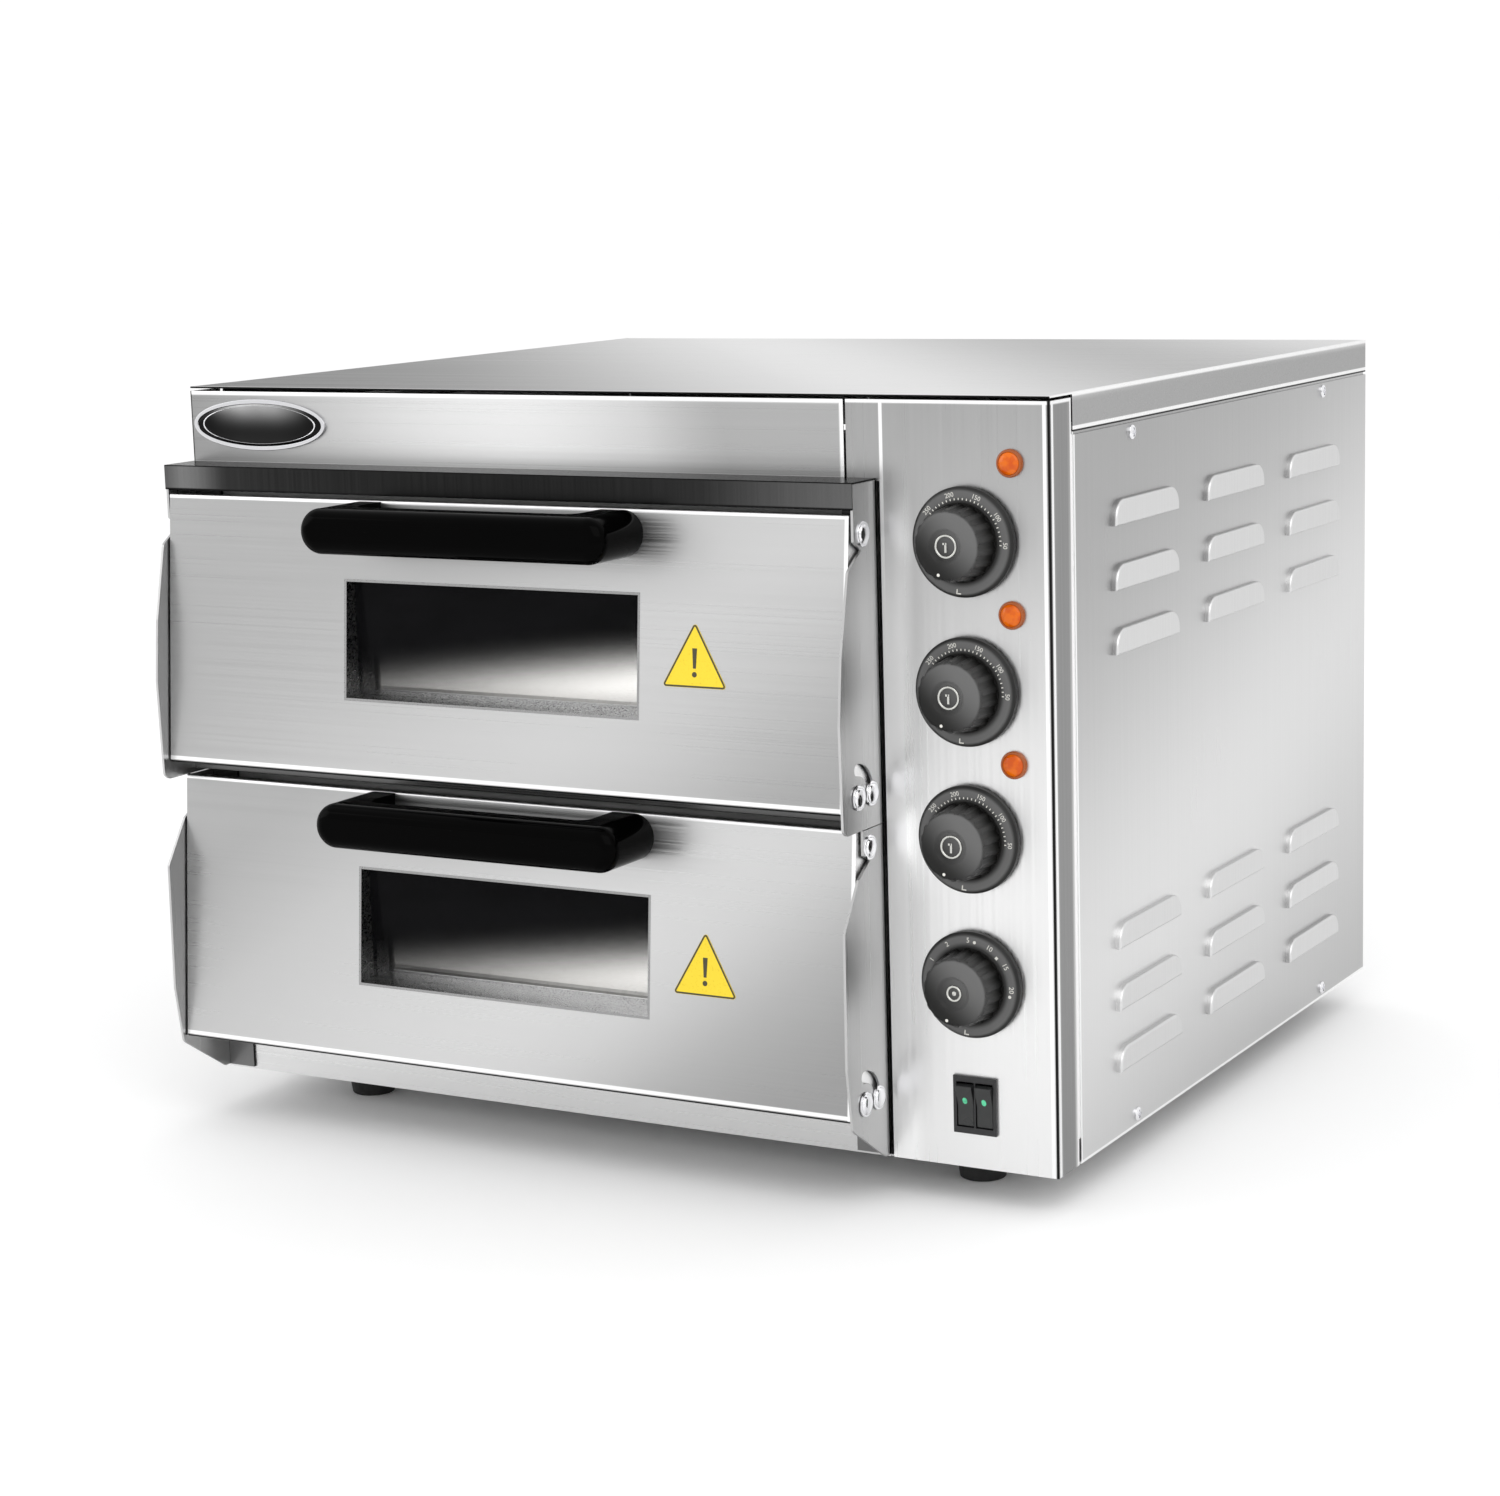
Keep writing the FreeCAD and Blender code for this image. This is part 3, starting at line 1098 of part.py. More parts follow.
def chamber_liner(deck):
    """A steel box open at the front, with a ledge on each side for the stone."""
    name = f"{deck}_chamber"
    x, y, z = chamber(deck)
    shell = box(f"{name}_shell", *grown(chamber(deck), "liner_sheet"))
    space = box(f"{name}_space", x, (f"{y[0]} - liner_sheet", y[1]), z)
    walls = cut(f"{name}_walls", shell, [space])
    ledges = []
    for side, edge in (("left", x[0]), ("right", f"{x[1]} - ledge_width")):
        ledges.append(box(f"{name}_ledge_{side}", (edge, f"{edge} + ledge_width"),
                          (f"{y[0]} + ledge_inset", f"{y[1]} - ledge_inset"),
                          (f"{z[0]} + ledge_rise", f"{z[0]} + ledge_rise + liner_sheet")))
    holes = terminal_holes(f"{name}_hole", deck, f"{x[1]} - drill", "liner_sheet + 2 * drill")
    holes += bulb_holes(f"{name}_hole", deck, f"{x[1]} - drill", "liner_sheet + 2 * drill")
    subpart(name, cut(name, fused(f"{name}_sheet", [walls] + ledges), holes))


def insulation(deck):
    """A ceramic-fibre blanket round the chamber's sides, rear, floor and ceiling."""
    name = f"{deck}_insulation"
    x, y, z = chamber(deck)
    outer = box(f"{name}_outer", *grown(chamber(deck), "liner_sheet + blanket", "blanket_gap"))
    space = box(f"{name}_space", *grown(chamber(deck), "liner_sheet", "-1"))
    holes = terminal_holes(f"{name}_hole", deck, f"{x[1]}", "liner_sheet + blanket + drill")
    holes += bulb_holes(f"{name}_hole", deck, f"{x[1]}", "liner_sheet + blanket + drill")
    subpart(name, cut(name, outer, [space] + holes))


def stone(deck):
    """A refractory stone on the ledges, its top edges broken."""
    name = f"{deck}_stone"
    x, y, z = chamber(deck)
    body = body_at(name, f"{BAY_MIDDLE} - stone_width / 2", f"{y[0]} + ledge_inset",
                   f"{z[0]} + ledge_rise + liner_sheet")
    corners = [("0", "0"), ("stone_width", "0"), ("stone_width", "stone_depth"), ("0", "stone_depth")]
    slab = pad(body, outline(body, f"{name}_outline", "XY_Plane", corners), "stone_thick", f"{name}_pad")
    top = number("stone_thick")
    dress(body, "Chamfer", slab, lambda edge: edge.BoundBox.ZMin > top - 0.01, "stone_edge", f"{name}_edges")
    subpart(name, body)


def element(deck, level):
    """A tube bent to and fro across the chamber; both ends pass out through the right wall."""
    name = f"{deck}_{level}_element"
    runs, height = element_runs(deck, level)
    y_runs = [number(y) for y in runs]
    z = number(height)
    bend = (y_runs[1] - y_runs[0]) / 2
    x_left = number(f"{chamber(deck)[0][0]} + element_inset") + bend
    x_right = number(f"{chamber(deck)[0][1]} - element_inset") - bend
    x_end = number(f"{chamber(deck)[0][1]} + terminal_reach")
    path = []
    for index, y in enumerate(y_runs):
        leftward = index % 2 == 0
        first = x_end if index == 0 else (x_right if leftward else x_left)
        last = x_left if leftward else (x_end if index == len(y_runs) - 1 else x_right)
        path.append(Part.LineSegment(Vector(first, y, z), Vector(last, y, z)).toShape())
        if index < len(y_runs) - 1:
            swing = -bend if leftward else bend
            arc = Part.Arc(Vector(last, y, z), Vector(last + swing, y + bend, z),
                           Vector(last, y + 2 * bend, z))
            path.append(arc.toShape())
    radius = number("element_radius")
    section = Part.Wire(Part.Circle(Vector(x_end, y_runs[0], z), Vector(1, 0, 0), radius).toShape())
    tube = Part.Wire(path).makePipeShell([section], True, False)
    collar_radius, collar_thick = number("collar_radius"), number("collar_thick")
    collar_x = number(chamber(deck)[0][1]) - collar_thick
    collars = [
        Part.makeCylinder(collar_radius, collar_thick, Vector(collar_x, y, z), Vector(1, 0, 0))
        for y in (y_runs[0], y_runs[-1])
    ]
    item = doc.addObject("Part::Feature", name)
    item.Shape = tube.fuse(collars)
    subpart(name, item)


def compartment_wall():
    """The sheet between the chambers and the control compartment, drilled for the element ends."""
    x = f"({BAY_RIGHT} - wall_inset)"
    plate = box("wall_plate", (x, f"{x} + sheet"), (inward("wall_gap"), f"{REAR} - wall_gap"),
                (above("sheet"), f"{TOP} - 2 * sheet"))
    holes = []
    for deck in DOOR_FOOT:
        holes += terminal_holes(f"wall_hole_{deck}", deck, f"{x} - drill", "sheet + 2 * drill")
        holes += bulb_holes(f"wall_hole_{deck}", deck, f"{x} - drill", "sheet + 2 * drill")
    subpart("compartment_wall", cut("compartment_wall", plate, holes))


def sensor_bulbs():
    """Capillary sensors of the three thermostats: a bulb in the chamber, a thin tube to the control."""
    pieces = []
    for index, ((y, z), height) in enumerate(zip(bulb_places(), control_places())):
        x_turn = number(across(f"knob_x - capillary_offset + {index} * capillary_pitch"))
        y_turn = number(f"{BACK_OF_PANEL} + timer_depth + capillary_clear")
        y_control = number(f"{BACK_OF_PANEL} + thermostat_depth")
        level = number(f"{height} - capillary_drop")
        bulb_start = Vector(number(f"{chamber('upper')[0][1]} - bulb_reach"), number(y), number(z))
        tube_start = bulb_start + Vector(number("bulb_length - 1"), 0, 0)
        route = round_route([
            tube_start, Vector(x_turn, tube_start.y, tube_start.z), Vector(x_turn, y_turn, tube_start.z),
            Vector(x_turn, y_turn, level), Vector(x_turn, y_control, level),
        ], number("capillary_bend"))
        section = Part.Wire(Part.Circle(tube_start, Vector(1, 0, 0), number("capillary_radius")).toShape())
        tube = Part.Wire(route).makePipeShell([section], True, False)
        piece = doc.addObject("Part::Feature", f"sensor_{index}")
        bulb = Part.makeCylinder(number("bulb_radius"), number("bulb_length"), bulb_start, Vector(1, 0, 0))
        piece.Shape = tube.fuse(bulb)
        pieces.append(piece)
    subpart("sensor_bulbs", grouped("sensor_bulbs", pieces))


def round_route(points, bend):
    """Straight runs between the points, joined by arcs of one radius at each right-angled corner."""
    edges = []
    here = points[0]
    for before, corner, after in zip(points, points[1:], points[2:]):
        to_corner = (corner - before).normalize()
        away = (after - corner).normalize()
        arc_start = corner - to_corner * bend
        arc_end = corner + away * bend
        centre = arc_start + away * bend
        middle = centre + (corner - centre).normalize() * bend
        edges.append(Part.LineSegment(here, arc_start).toShape())
        edges.append(Part.Arc(arc_start, middle, arc_end).toShape())
        here = arc_end
    edges.append(Part.LineSegment(here, points[-1]).toShape())
    return edges


# ---------------------------------------------------------------- controls
def control(name, width, depth, height):
    """The case of a thermostat or timer behind the panel, with its bush through the panel."""
    half = f"({width} / 2)"
    case = box(f"{name}_case", (across(f"knob_x - {half}"), across(f"knob_x + {half}")),
               (BACK_OF_PANEL, f"{BACK_OF_PANEL} + {depth}"), (f"{height} - {half}", f"{height} + {half}"))
    bush = rod(f"{name}_bush", "Y", "bush_radius", across("knob_x"), out("bush_reach"), height,
               "sheet + bush_reach")
    bore = rod(f"{name}_bore", "Y", "shaft_radius + shaft_gap", across("knob_x"), out("drill"), height,
               "drill + control_bore")
    return cut(name, fused(f"{name}_whole", [case, bush]), [bore])


def controls():
    heights = control_places()
    cases = [
        control(f"thermostat_{index}", "thermostat_width", "thermostat_depth", height)
        for index, height in enumerate(heights[:-1])
    ]
    subpart("thermostats", grouped("thermostats", cases))
    subpart("timer", control("timer", "timer_width", "timer_depth", heights[-1]))


def knob(label, height):
    """A turned knob: bevelled skirt, tapered fluted grip, hollow in its face, blind bore for its shaft."""
    body = body_at(label, across("knob_x"), out("knob_gap"), height, FRONTWARD)
    profile = [
        ("0", "0"), ("knob_skirt_radius", "0"), ("knob_skirt_radius", "knob_skirt_height - knob_bevel"),
        ("knob_skirt_radius - knob_bevel", "knob_skirt_height"),
        ("knob_grip_radius + knob_root", "knob_skirt_height"),
        ("knob_grip_radius", "knob_skirt_height + knob_root"),
        ("knob_tip_radius", "knob_height - knob_face_fall - knob_bevel"),
        ("knob_tip_radius - knob_bevel", "knob_height - knob_face_fall"),
        ("knob_dish_radius", "knob_height"), ("knob_dish_radius - knob_dish", "knob_height - knob_dish"),
        ("0", "knob_height - knob_dish"),
    ]
    sketch = outline(body, f"{label}_profile", "XZ_Plane", profile)
    turned = body.newObject("PartDesign::Revolution", f"{label}_turned")
    turned.Profile = sketch
    turned.ReferenceAxis = (sketch, ["V_Axis"])
    turned.Angle = 360
    bore = circles(body, f"{label}_bore_outline", "XY_Plane", "shaft_radius + shaft_gap", [("0", "0")])
    pocket(body, bore, "knob_height - knob_crown", f"{label}_bore", backwards=True)
    flute = circles(body, f"{label}_flute_outline", "XY_Plane", "flute_radius",
                    [("knob_grip_radius - flute_depth + flute_radius", "0")],
                    "knob_skirt_height + knob_root / 2")
    grooved = pocket(body, flute, "knob_height", f"{label}_flute")
    grip_height = number("knob_height - knob_face_fall - knob_bevel - knob_skirt_height - knob_root")
    grooved.UseCustomVector = True
    grooved.Direction = Vector(number("knob_tip_radius - knob_grip_radius"), 0, grip_height)
    doc.recompute()
    pattern = body.newObject("PartDesign::PolarPattern", f"{label}_flutes")
    pattern.Originals = [grooved]
    pattern.Axis = (flute, ["N_Axis"])
    pattern.Angle = 360
    pattern.Occurrences = int(number("knob_flutes"))
    body.Tip = pattern
    subpart(label, body)


def shaft(label, height):
    """A control shaft from inside the control to inside the knob."""
    knob_end = "(knob_gap + knob_height - knob_crown - shaft_end_gap)"
    subpart(f"{label}_shaft", rod(f"{label}_shaft", "Y", "shaft_radius", across("knob_x"), out(knob_end),
                                  height, f"{knob_end} + shaft_tail"))


def pilot_lamps():
    """Three lamps: a domed lens in front of the panel, a barrel and a nut behind it."""
    pieces = []
    for index, height in enumerate(lamp_places()):
        name = f"lamp_{index}"
        body = body_at(name, across("lamp_x"), FRONT, height, FRONTWARD)
        profile = [
            ("0", "-lamp_barrel"), ("lamp_body_radius", "-lamp_barrel"),
            ("lamp_body_radius", "-lamp_nut - sheet"),
            ("lamp_body_radius + lamp_nut_wall", "-lamp_nut - sheet"),
            ("lamp_body_radius + lamp_nut_wall", "-sheet"), ("lamp_body_radius", "-sheet"),
            ("lamp_body_radius", "0"), ("lamp_radius", "0"), ("lamp_radius", "0.4 * lamp_height"),
            ("0.86 * lamp_radius", "0.75 * lamp_height"), ("0.57 * lamp_radius", "lamp_height"),
            ("0", "lamp_height"),
        ]
        sketch = outline(body, f"{name}_profile", "XZ_Plane", profile)
        turned = body.newObject("PartDesign::Revolution", f"{name}_turned")
        turned.Profile = sketch
        turned.ReferenceAxis = (sketch, ["V_Axis"])
        turned.Angle = 360
        pieces.append(body)
    subpart("pilot_lamps", grouped("pilot_lamps", pieces))


def rocker_centre(side):
    """Middle of a rocker's pivot: x, and its y and z."""
    sign = "-" if side == "left" else "+"
    x = across(f"switch_x {sign} (rocker_width + rocker_wall) / 2")
    return x, out("switch_bezel - rocker_pivot_depth"), above("switch_z")


def switch_housing():
    """The double switch's bezel and body with a pocket for each rocker."""
    x = (across("switch_x - switch_width / 2"), across("switch_x + switch_width / 2"))
    z = (above("switch_z - switch_height / 2"), above("switch_z + switch_height / 2"))
    bezel = box("switch_bezel_frame", x, (out("switch_bezel"), FRONT), z)
    barrel = box("switch_barrel", (f"{x[0]} + switch_step", f"{x[1]} - switch_step"),
                 (FRONT, inward("switch_depth")), (f"{z[0]} + switch_step", f"{z[1]} - switch_step"))
    pockets = []
    for side in ("left", "right"):
        x_mid, _, z_mid = rocker_centre(side)
        half_width = "(rocker_width / 2 + hole_gap)"
        half_height = "(rocker_height / 2 + rocker_gap)"
        pockets.append(box(f"switch_pocket_{side}", (f"{x_mid} - {half_width}", f"{x_mid} + {half_width}"),
                           (out("switch_bezel + sheet"), inward("rocker_pocket")),
                           (f"{z_mid} - {half_height}", f"{z_mid} + {half_height}")))
    subpart("switch_housing", cut("switch_housing", fused("switch_whole", [bezel, barrel]), pockets))


def rocker(side):
    """A rocker with a shallow V face, resting with its lower end pressed in."""
    name = f"rocker_{side}"
    x, y, z = rocker_centre(side)
    body = body_at(name, f"{x} - rocker_width / 2", y, z)
    body.Placement = Placement(body.Placement.Base, Rotation(Vector(1, 0, 0), number("rocker_tilt")))
    half = "(rocker_height / 2)"
    profile = [
        ("rocker_root", "-rocker_root_half"), ("rocker_root", "rocker_root_half"), ("rocker_shoulder", half),
        ("-rocker_lip", half), ("-rocker_valley", "0"), ("-rocker_lip", f"-{half}"),
        ("rocker_shoulder", f"-{half}"),
    ]
    pad(body, outline(body, f"{name}_profile", "YZ_Plane", profile), "rocker_width", f"{name}_pad")
    subpart(name, body)


def terminal_block():
    """The mains terminal block on the compartment's floor: a ridged block with six screws."""
    x = (across("block_x"), across("block_x + block_width"))
    foot, top = above("sheet"), above("sheet + block_height")
    base = box("terminal_base", x, (inward("block_y"), inward("block_y + block_depth")), (foot, top))
    ridges = []
    for index in range(4):
        ridge_y = f"block_y + {index} * ridge_pitch"
        ridges.append(box(f"terminal_ridge_{index}", x, (inward(ridge_y), inward(f"{ridge_y} + ridge_thick")),
                          (top, f"{top} + ridge_height")))
    screws = [
        rod(f"terminal_screw_{index}_{end}", "Z", "block_screw_radius",
            across(f"block_x + block_screw_inset + {end} * (block_width - 2 * block_screw_inset)"),
            inward(f"block_y + (ridge_thick + ridge_pitch) / 2 + {index} * ridge_pitch"),
            f"{top} - 1", "block_screw_cap")
        for index in range(3) for end in range(2)
    ]
    subpart("terminal_block", fused("terminal_block", [base] + ridges + screws))


def cable_gland():
    """The gland in the rear panel: threaded neck, inner nut, outer nut and domed cap, bored for the lead."""
    body = body_at("gland_turned_body", across("gland_x"), f"{REAR}", above("gland_z"), TURN["Y"])
    profile = [
        ("gland_bore_radius", "-gland_tail"), ("gland_radius", "-gland_tail"),
        ("gland_radius", "-sheet - seam"), ("gland_radius - gland_neck", "-sheet - seam"),
        ("gland_radius - gland_neck", "0"), ("gland_radius", "0"), ("gland_radius", "gland_nut"),
        ("gland_radius - gland_step", "gland_nut + gland_step"),
        ("gland_radius - gland_step", "gland_reach - gland_dome"),
        ("gland_bore_radius + gland_lip", "gland_reach"), ("gland_bore_radius", "gland_reach"),
    ]
    sketch = outline(body, "gland_profile", "XZ_Plane", profile)
    turned = body.newObject("PartDesign::Revolution", "gland_turned")
    turned.Profile = sketch
    turned.ReferenceAxis = (sketch, ["V_Axis"])
    turned.Angle = 360
    subpart("cable_gland", body)


def badge():
    """A blank oval badge with a raised rim, on the fascia."""
    half_width, half_height = number("badge_width / 2"), number("badge_height / 2")
    thick = number("badge_thick")
    oval = Part.Ellipse(Vector(), half_width, half_height)
    plate = Part.Face(Part.Wire(oval.toShape())).extrude(Vector(0, 0, thick))
    rim = number("badge_rim")
    field = Part.Ellipse(Vector(), half_width - rim, half_height - rim)
    hollow = Part.Face(Part.Wire(field.toShape())).extrude(Vector(0, 0, thick))
    hollow.translate(Vector(0, 0, thick - number("badge_field")))
    item = doc.addObject("Part::Feature", "badge")
    item.Shape = plate.cut(hollow)
    item.Placement = Placement(
        Vector(number(across("badge_x")), number(FRONT), number(f"{TOP} - badge_drop")), FRONTWARD)
    subpart("badge", item)


# ---------------------------------------------------------------- whole oven
base_pan()
feet()
case_screws()
top_cover()
rear_panel()
front_fascia()
front_frame()
control_panel()
lintels()
top_bolts()
compartment_wall()
for panel_side in ("left", "right"):
    side_panel(panel_side)
for deck_name in DOOR_FOOT:
    for cheek_side in ("left", "right"):
        cheek(deck_name, cheek_side)
    door_outer(deck_name)
    door_inner(deck_name)
    window_trim(deck_name)
    glass_panes(deck_name)
    handle(deck_name)
    handle_screws(deck_name)
    hinge_bolts(deck_name)
    chamber_liner(deck_name)
    insulation(deck_name)
    stone(deck_name)
    for element_level in ("top", "bottom"):
        element(deck_name, element_level)
sensor_bulbs()
controls()
for knob_label, knob_height in zip(KNOBS, control_places()):
    knob(knob_label, knob_height)
    shaft(knob_label, knob_height)
pilot_lamps()
switch_housing()
for rocker_side in ("left", "right"):
    rocker(rocker_side)
terminal_block()
cable_gland()
badge()

# ---------------------------------------------------------------- checks and files
doc.removeObject(gauge.Name)
doc.recompute()
for thing in doc.Objects:
    if {"Invalid", "Error"} & set(thing.State):
        raise RuntimeError(f"{thing.Label} did not build: {thing.State}")
for label, item in subparts.items():
    if item.Shape.isNull() or not item.Shape.isValid() or not item.Shape.Solids:
        raise RuntimeError(f"{label} has no sound solid")
os.makedirs("parts", exist_ok=True)
for label, item in subparts.items():
    item.Shape.exportStep(f"parts/{label}.step")
print(len(subparts), "sub-parts")
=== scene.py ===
import json
import math

import bmesh
import bpy
from mathutils import Matrix, Vector


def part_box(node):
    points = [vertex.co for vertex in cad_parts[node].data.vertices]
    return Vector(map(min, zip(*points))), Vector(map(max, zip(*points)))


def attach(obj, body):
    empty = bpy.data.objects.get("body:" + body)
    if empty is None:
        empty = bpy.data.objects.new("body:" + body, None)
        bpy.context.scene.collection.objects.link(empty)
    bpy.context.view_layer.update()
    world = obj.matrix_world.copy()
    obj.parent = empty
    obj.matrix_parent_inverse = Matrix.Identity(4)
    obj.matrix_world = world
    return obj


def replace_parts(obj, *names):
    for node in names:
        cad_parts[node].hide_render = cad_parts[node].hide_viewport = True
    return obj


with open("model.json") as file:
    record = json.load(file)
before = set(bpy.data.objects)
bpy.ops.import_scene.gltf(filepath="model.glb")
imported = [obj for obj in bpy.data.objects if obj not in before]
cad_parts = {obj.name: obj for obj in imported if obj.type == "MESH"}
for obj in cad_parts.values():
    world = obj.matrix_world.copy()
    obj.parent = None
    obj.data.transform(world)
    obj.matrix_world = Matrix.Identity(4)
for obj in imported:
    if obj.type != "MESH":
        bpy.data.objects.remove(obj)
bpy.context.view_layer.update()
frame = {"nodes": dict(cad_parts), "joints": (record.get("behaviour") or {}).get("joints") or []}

MM = 0.001
DECKS = ("lower", "upper")
KNOBS = ("knob_top", "knob_second", "knob_third", "knob_timer")
AXES = {"x": (1, 0, 0), "y": (0, 1, 0), "z": (0, 0, 1)}
SKIRT_FACE = 5.5 * MM  # front of a knob's skirt, from the knob's rear
INK = 0.12 * MM  # thickness of printed marks


# ---------------------------------------------------------------- places read from the frame
def solids(node):
    """(lowest, highest) corner of each separate solid in a CAD node."""
    mesh = frame["nodes"][node].data
    spot = {}
    parent = []

    def root(index):
        while parent[index] != index:
            parent[index] = parent[parent[index]]
            index = parent[index]
        return index

    for vertex in mesh.vertices:
        key = tuple(round(value, 6) for value in vertex.co)
        if key not in spot:
            spot[key] = len(parent)
            parent.append(len(parent))
    index_of = [spot[tuple(round(value, 6) for value in vertex.co)] for vertex in mesh.vertices]
    for polygon in mesh.polygons:
        first = root(index_of[polygon.vertices[0]])
        for corner in polygon.vertices[1:]:
            parent[root(index_of[corner])] = first
    groups = {}
    for key, index in spot.items():
        groups.setdefault(root(index), []).append(Vector(key))
    corners = []
    for points in groups.values():
        low = Vector([min(point[axis] for point in points) for axis in range(3)])
        high = Vector([max(point[axis] for point in points) for axis in range(3)])
        corners.append((low, high))
    return sorted(corners, key=lambda pair: tuple(round(value, 5) for value in pair[0]))


def joint_place(name):
    """Where a joint's axis is."""
    return Vector([joint for joint in frame["joints"] if joint["name"] == name][0]["pos_m"])


CASE_LOW, CASE_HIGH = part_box("top_cover")
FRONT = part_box("front_fascia")[0].y
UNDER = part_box("base_pan")[0].z
PANEL_LOW, PANEL_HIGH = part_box("control_panel")
SIDE_LOW, SIDE_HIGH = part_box("right_side_panel")


# ---------------------------------------------------------------- materials
class Shader:
    """A node material being made: its Principled shader and the nodes that drive it."""

    def __init__(self, name, **sockets):
        self.material = bpy.data.materials.new(name)
        self.material.use_nodes = True
        self.tree = self.material.node_tree
        self.surface = self.tree.nodes["Principled BSDF"]
        self.place = self.tree.nodes.new("ShaderNodeTexCoord").outputs["Object"]
        for socket, value in sockets.items():
            self.feed(self.surface.inputs[socket.replace("_", " ")], value)

    def feed(self, socket, value):
        """A socket takes a number, a colour or another node's output."""
        if isinstance(value, bpy.types.NodeSocket):
            self.tree.links.new(value, socket)
        elif socket.type == "RGBA":
            socket.default_value = grey(value) if isinstance(value, float) else (*value[:3], 1)
        else:
            socket.default_value = value

    def add(self, kind, inputs, **settings):
        item = self.tree.nodes.new(kind)
        for name, value in settings.items():
            setattr(item, name, value)
        for socket, value in inputs.items():
            self.feed(item.inputs[socket], value)
        return item

    def maths(self, operation, first, second=0.0):
        return self.add("ShaderNodeMath", {0: first, 1: second}, operation=operation).outputs[0]

    def spread(self, value, low, high, new_low=0.0, new_high=1.0):
        """The value's run from low to high, carried over to new_low to new_high with soft ends."""
        item = self.add("ShaderNodeMapRange", {0: value, 1: low, 2: high, 3: new_low, 4: new_high})
        item.interpolation_type = "SMOOTHSTEP"
        return item.outputs[0]

    def stretched(self, stretch):
        return self.add("ShaderNodeMapping", {"Vector": self.place, "Scale": stretch}).outputs[0]

    def noise(self, scale, stretch=(1, 1, 1), detail=3.0, roughness=0.5):
        inputs = {"Vector": self.stretched(stretch), "Scale": scale, "Detail": detail, "Roughness": roughness}
        return self.add("ShaderNodeTexNoise", inputs).outputs[0]

    def grains(self, scale, stretch=(1, 1, 1)):
        """Distance to the nearest of many scattered points."""
        inputs = {"Vector": self.stretched(stretch), "Scale": scale}
        return self.add("ShaderNodeTexVoronoi", inputs).outputs["Distance"]

    def mixed(self, share, first, second):
        """The first colour at share 0, the second at share 1."""
        item = self.add("ShaderNodeMix", {}, data_type="RGBA")
        colours = [socket for socket in item.inputs if socket.type == "RGBA"]
        self.feed(item.inputs[0], share)
        self.feed(colours[0], first)
        self.feed(colours[1], second)
        return [socket for socket in item.outputs if socket.type == "RGBA"][0]

    def along(self, direction):
        """How far a point lies along a direction."""
        item = self.add("ShaderNodeVectorMath", {0: self.place, 1: direction}, operation="DOT_PRODUCT")
        return item.outputs["Value"]

    def sweep(self, direction, painted_light_stops):
        """Greys that change along a direction, used as painted light and shade; the stops are (place along
        it, grey).
        """
        places = [place for place, shade in painted_light_stops]
        limits = {0: self.along(direction), 1: min(places), 2: max(places)}
        share = self.add("ShaderNodeMapRange", limits).outputs[0]
        ramp = self.tree.nodes.new("ShaderNodeValToRGB")
        ramp.color_ramp.interpolation = "B_SPLINE"
        marks = ramp.color_ramp.elements
        while len(marks) < len(painted_light_stops):
            marks.new(0.5)
        for mark, (place, shade) in zip(marks, painted_light_stops):
            mark.position = (place - min(places)) / (max(places) - min(places))
            mark.color = grey(shade)
        self.feed(ramp.inputs[0], share)
        return ramp.outputs[0]

    def near(self, axis, place, half):
        """1 within a half width of a place along an axis, 0 beyond it."""
        away = self.maths("ABSOLUTE", self.maths("SUBTRACT", self.along(AXES[axis]), place))
        return self.spread(away, 0.7 * half, 1.3 * half, 1.0, 0.0)

    def lines(self, strips):
        """1 on thin strips and 0 off them.

        A strip is one (axis, place, half width), or several that all have to hold.
        """
        found = None
        for strip in strips:
            on = None
            for limit in strip if isinstance(strip[0], tuple) else (strip,):
                inside = self.near(*limit)
                on = inside if on is None else self.maths("MULTIPLY", on, inside)
            found = on if found is None else self.maths("MAXIMUM", found, on)
        return found

    def rough(self, value):
        self.feed(self.surface.inputs["Roughness"], value)

    def colour(self, value):
        self.feed(self.surface.inputs["Base Color"], value)

    def bump(self, height, strength, distance=0.0002):
        inputs = {"Height": height, "Strength": strength, "Distance": distance}
        bump = self.add("ShaderNodeBump", inputs)
        self.feed(self.surface.inputs["Normal"], bump.outputs[0])


def grey(value):
    return (value, value, value, 1)


GRAIN = {"x": (1.5, 900, 900), "z": (900, 900, 1.5)}
# Greys of the painted highlight lines and the painted shade lines at folds and edges
HIGHLIGHT_EDGE_GREY = 0.96
SHADE_EDGE_GREY = 0.012
BRUSH_SHARE, CLOUD_SHARE, STREAK_SHARE = 0.35, 0.3, 0.22


def brushed(shader, grain, direction, painted_light_stops):
    """Brushed steel's colour, whose greys along a direction are a painted sheen, and the fine lines and slow
    clouds that it is made with.
    """
    fine = shader.noise(1.0, GRAIN[grain], 2.0)
    clouds = shader.noise(7.0, detail=4.0)
    tone = shader.maths("ADD", shader.maths("MULTIPLY", fine, BRUSH_SHARE),
                        shader.maths("MULTIPLY", clouds, CLOUD_SHARE))
    streaks = shader.maths("MULTIPLY", tone, STREAK_SHARE)
    # the sweep of greys is a painted sheen; the streaks lighten it at random
    return shader.mixed(streaks, shader.sweep(direction, painted_light_stops), grey(0.95)), fine, clouds


def brushed_finish(shader, base, fine, clouds, smooth, coarse):
    """Put the colour on, with a roughness that follows the fine lines."""
    shader.colour(base)
    shader.rough(shader.maths("ADD", shader.spread(fine, 0.3, 0.7, smooth, coarse),
                              shader.maths("MULTIPLY", clouds, 0.06)))
    shader.bump(fine, 0.06)
    return shader.material


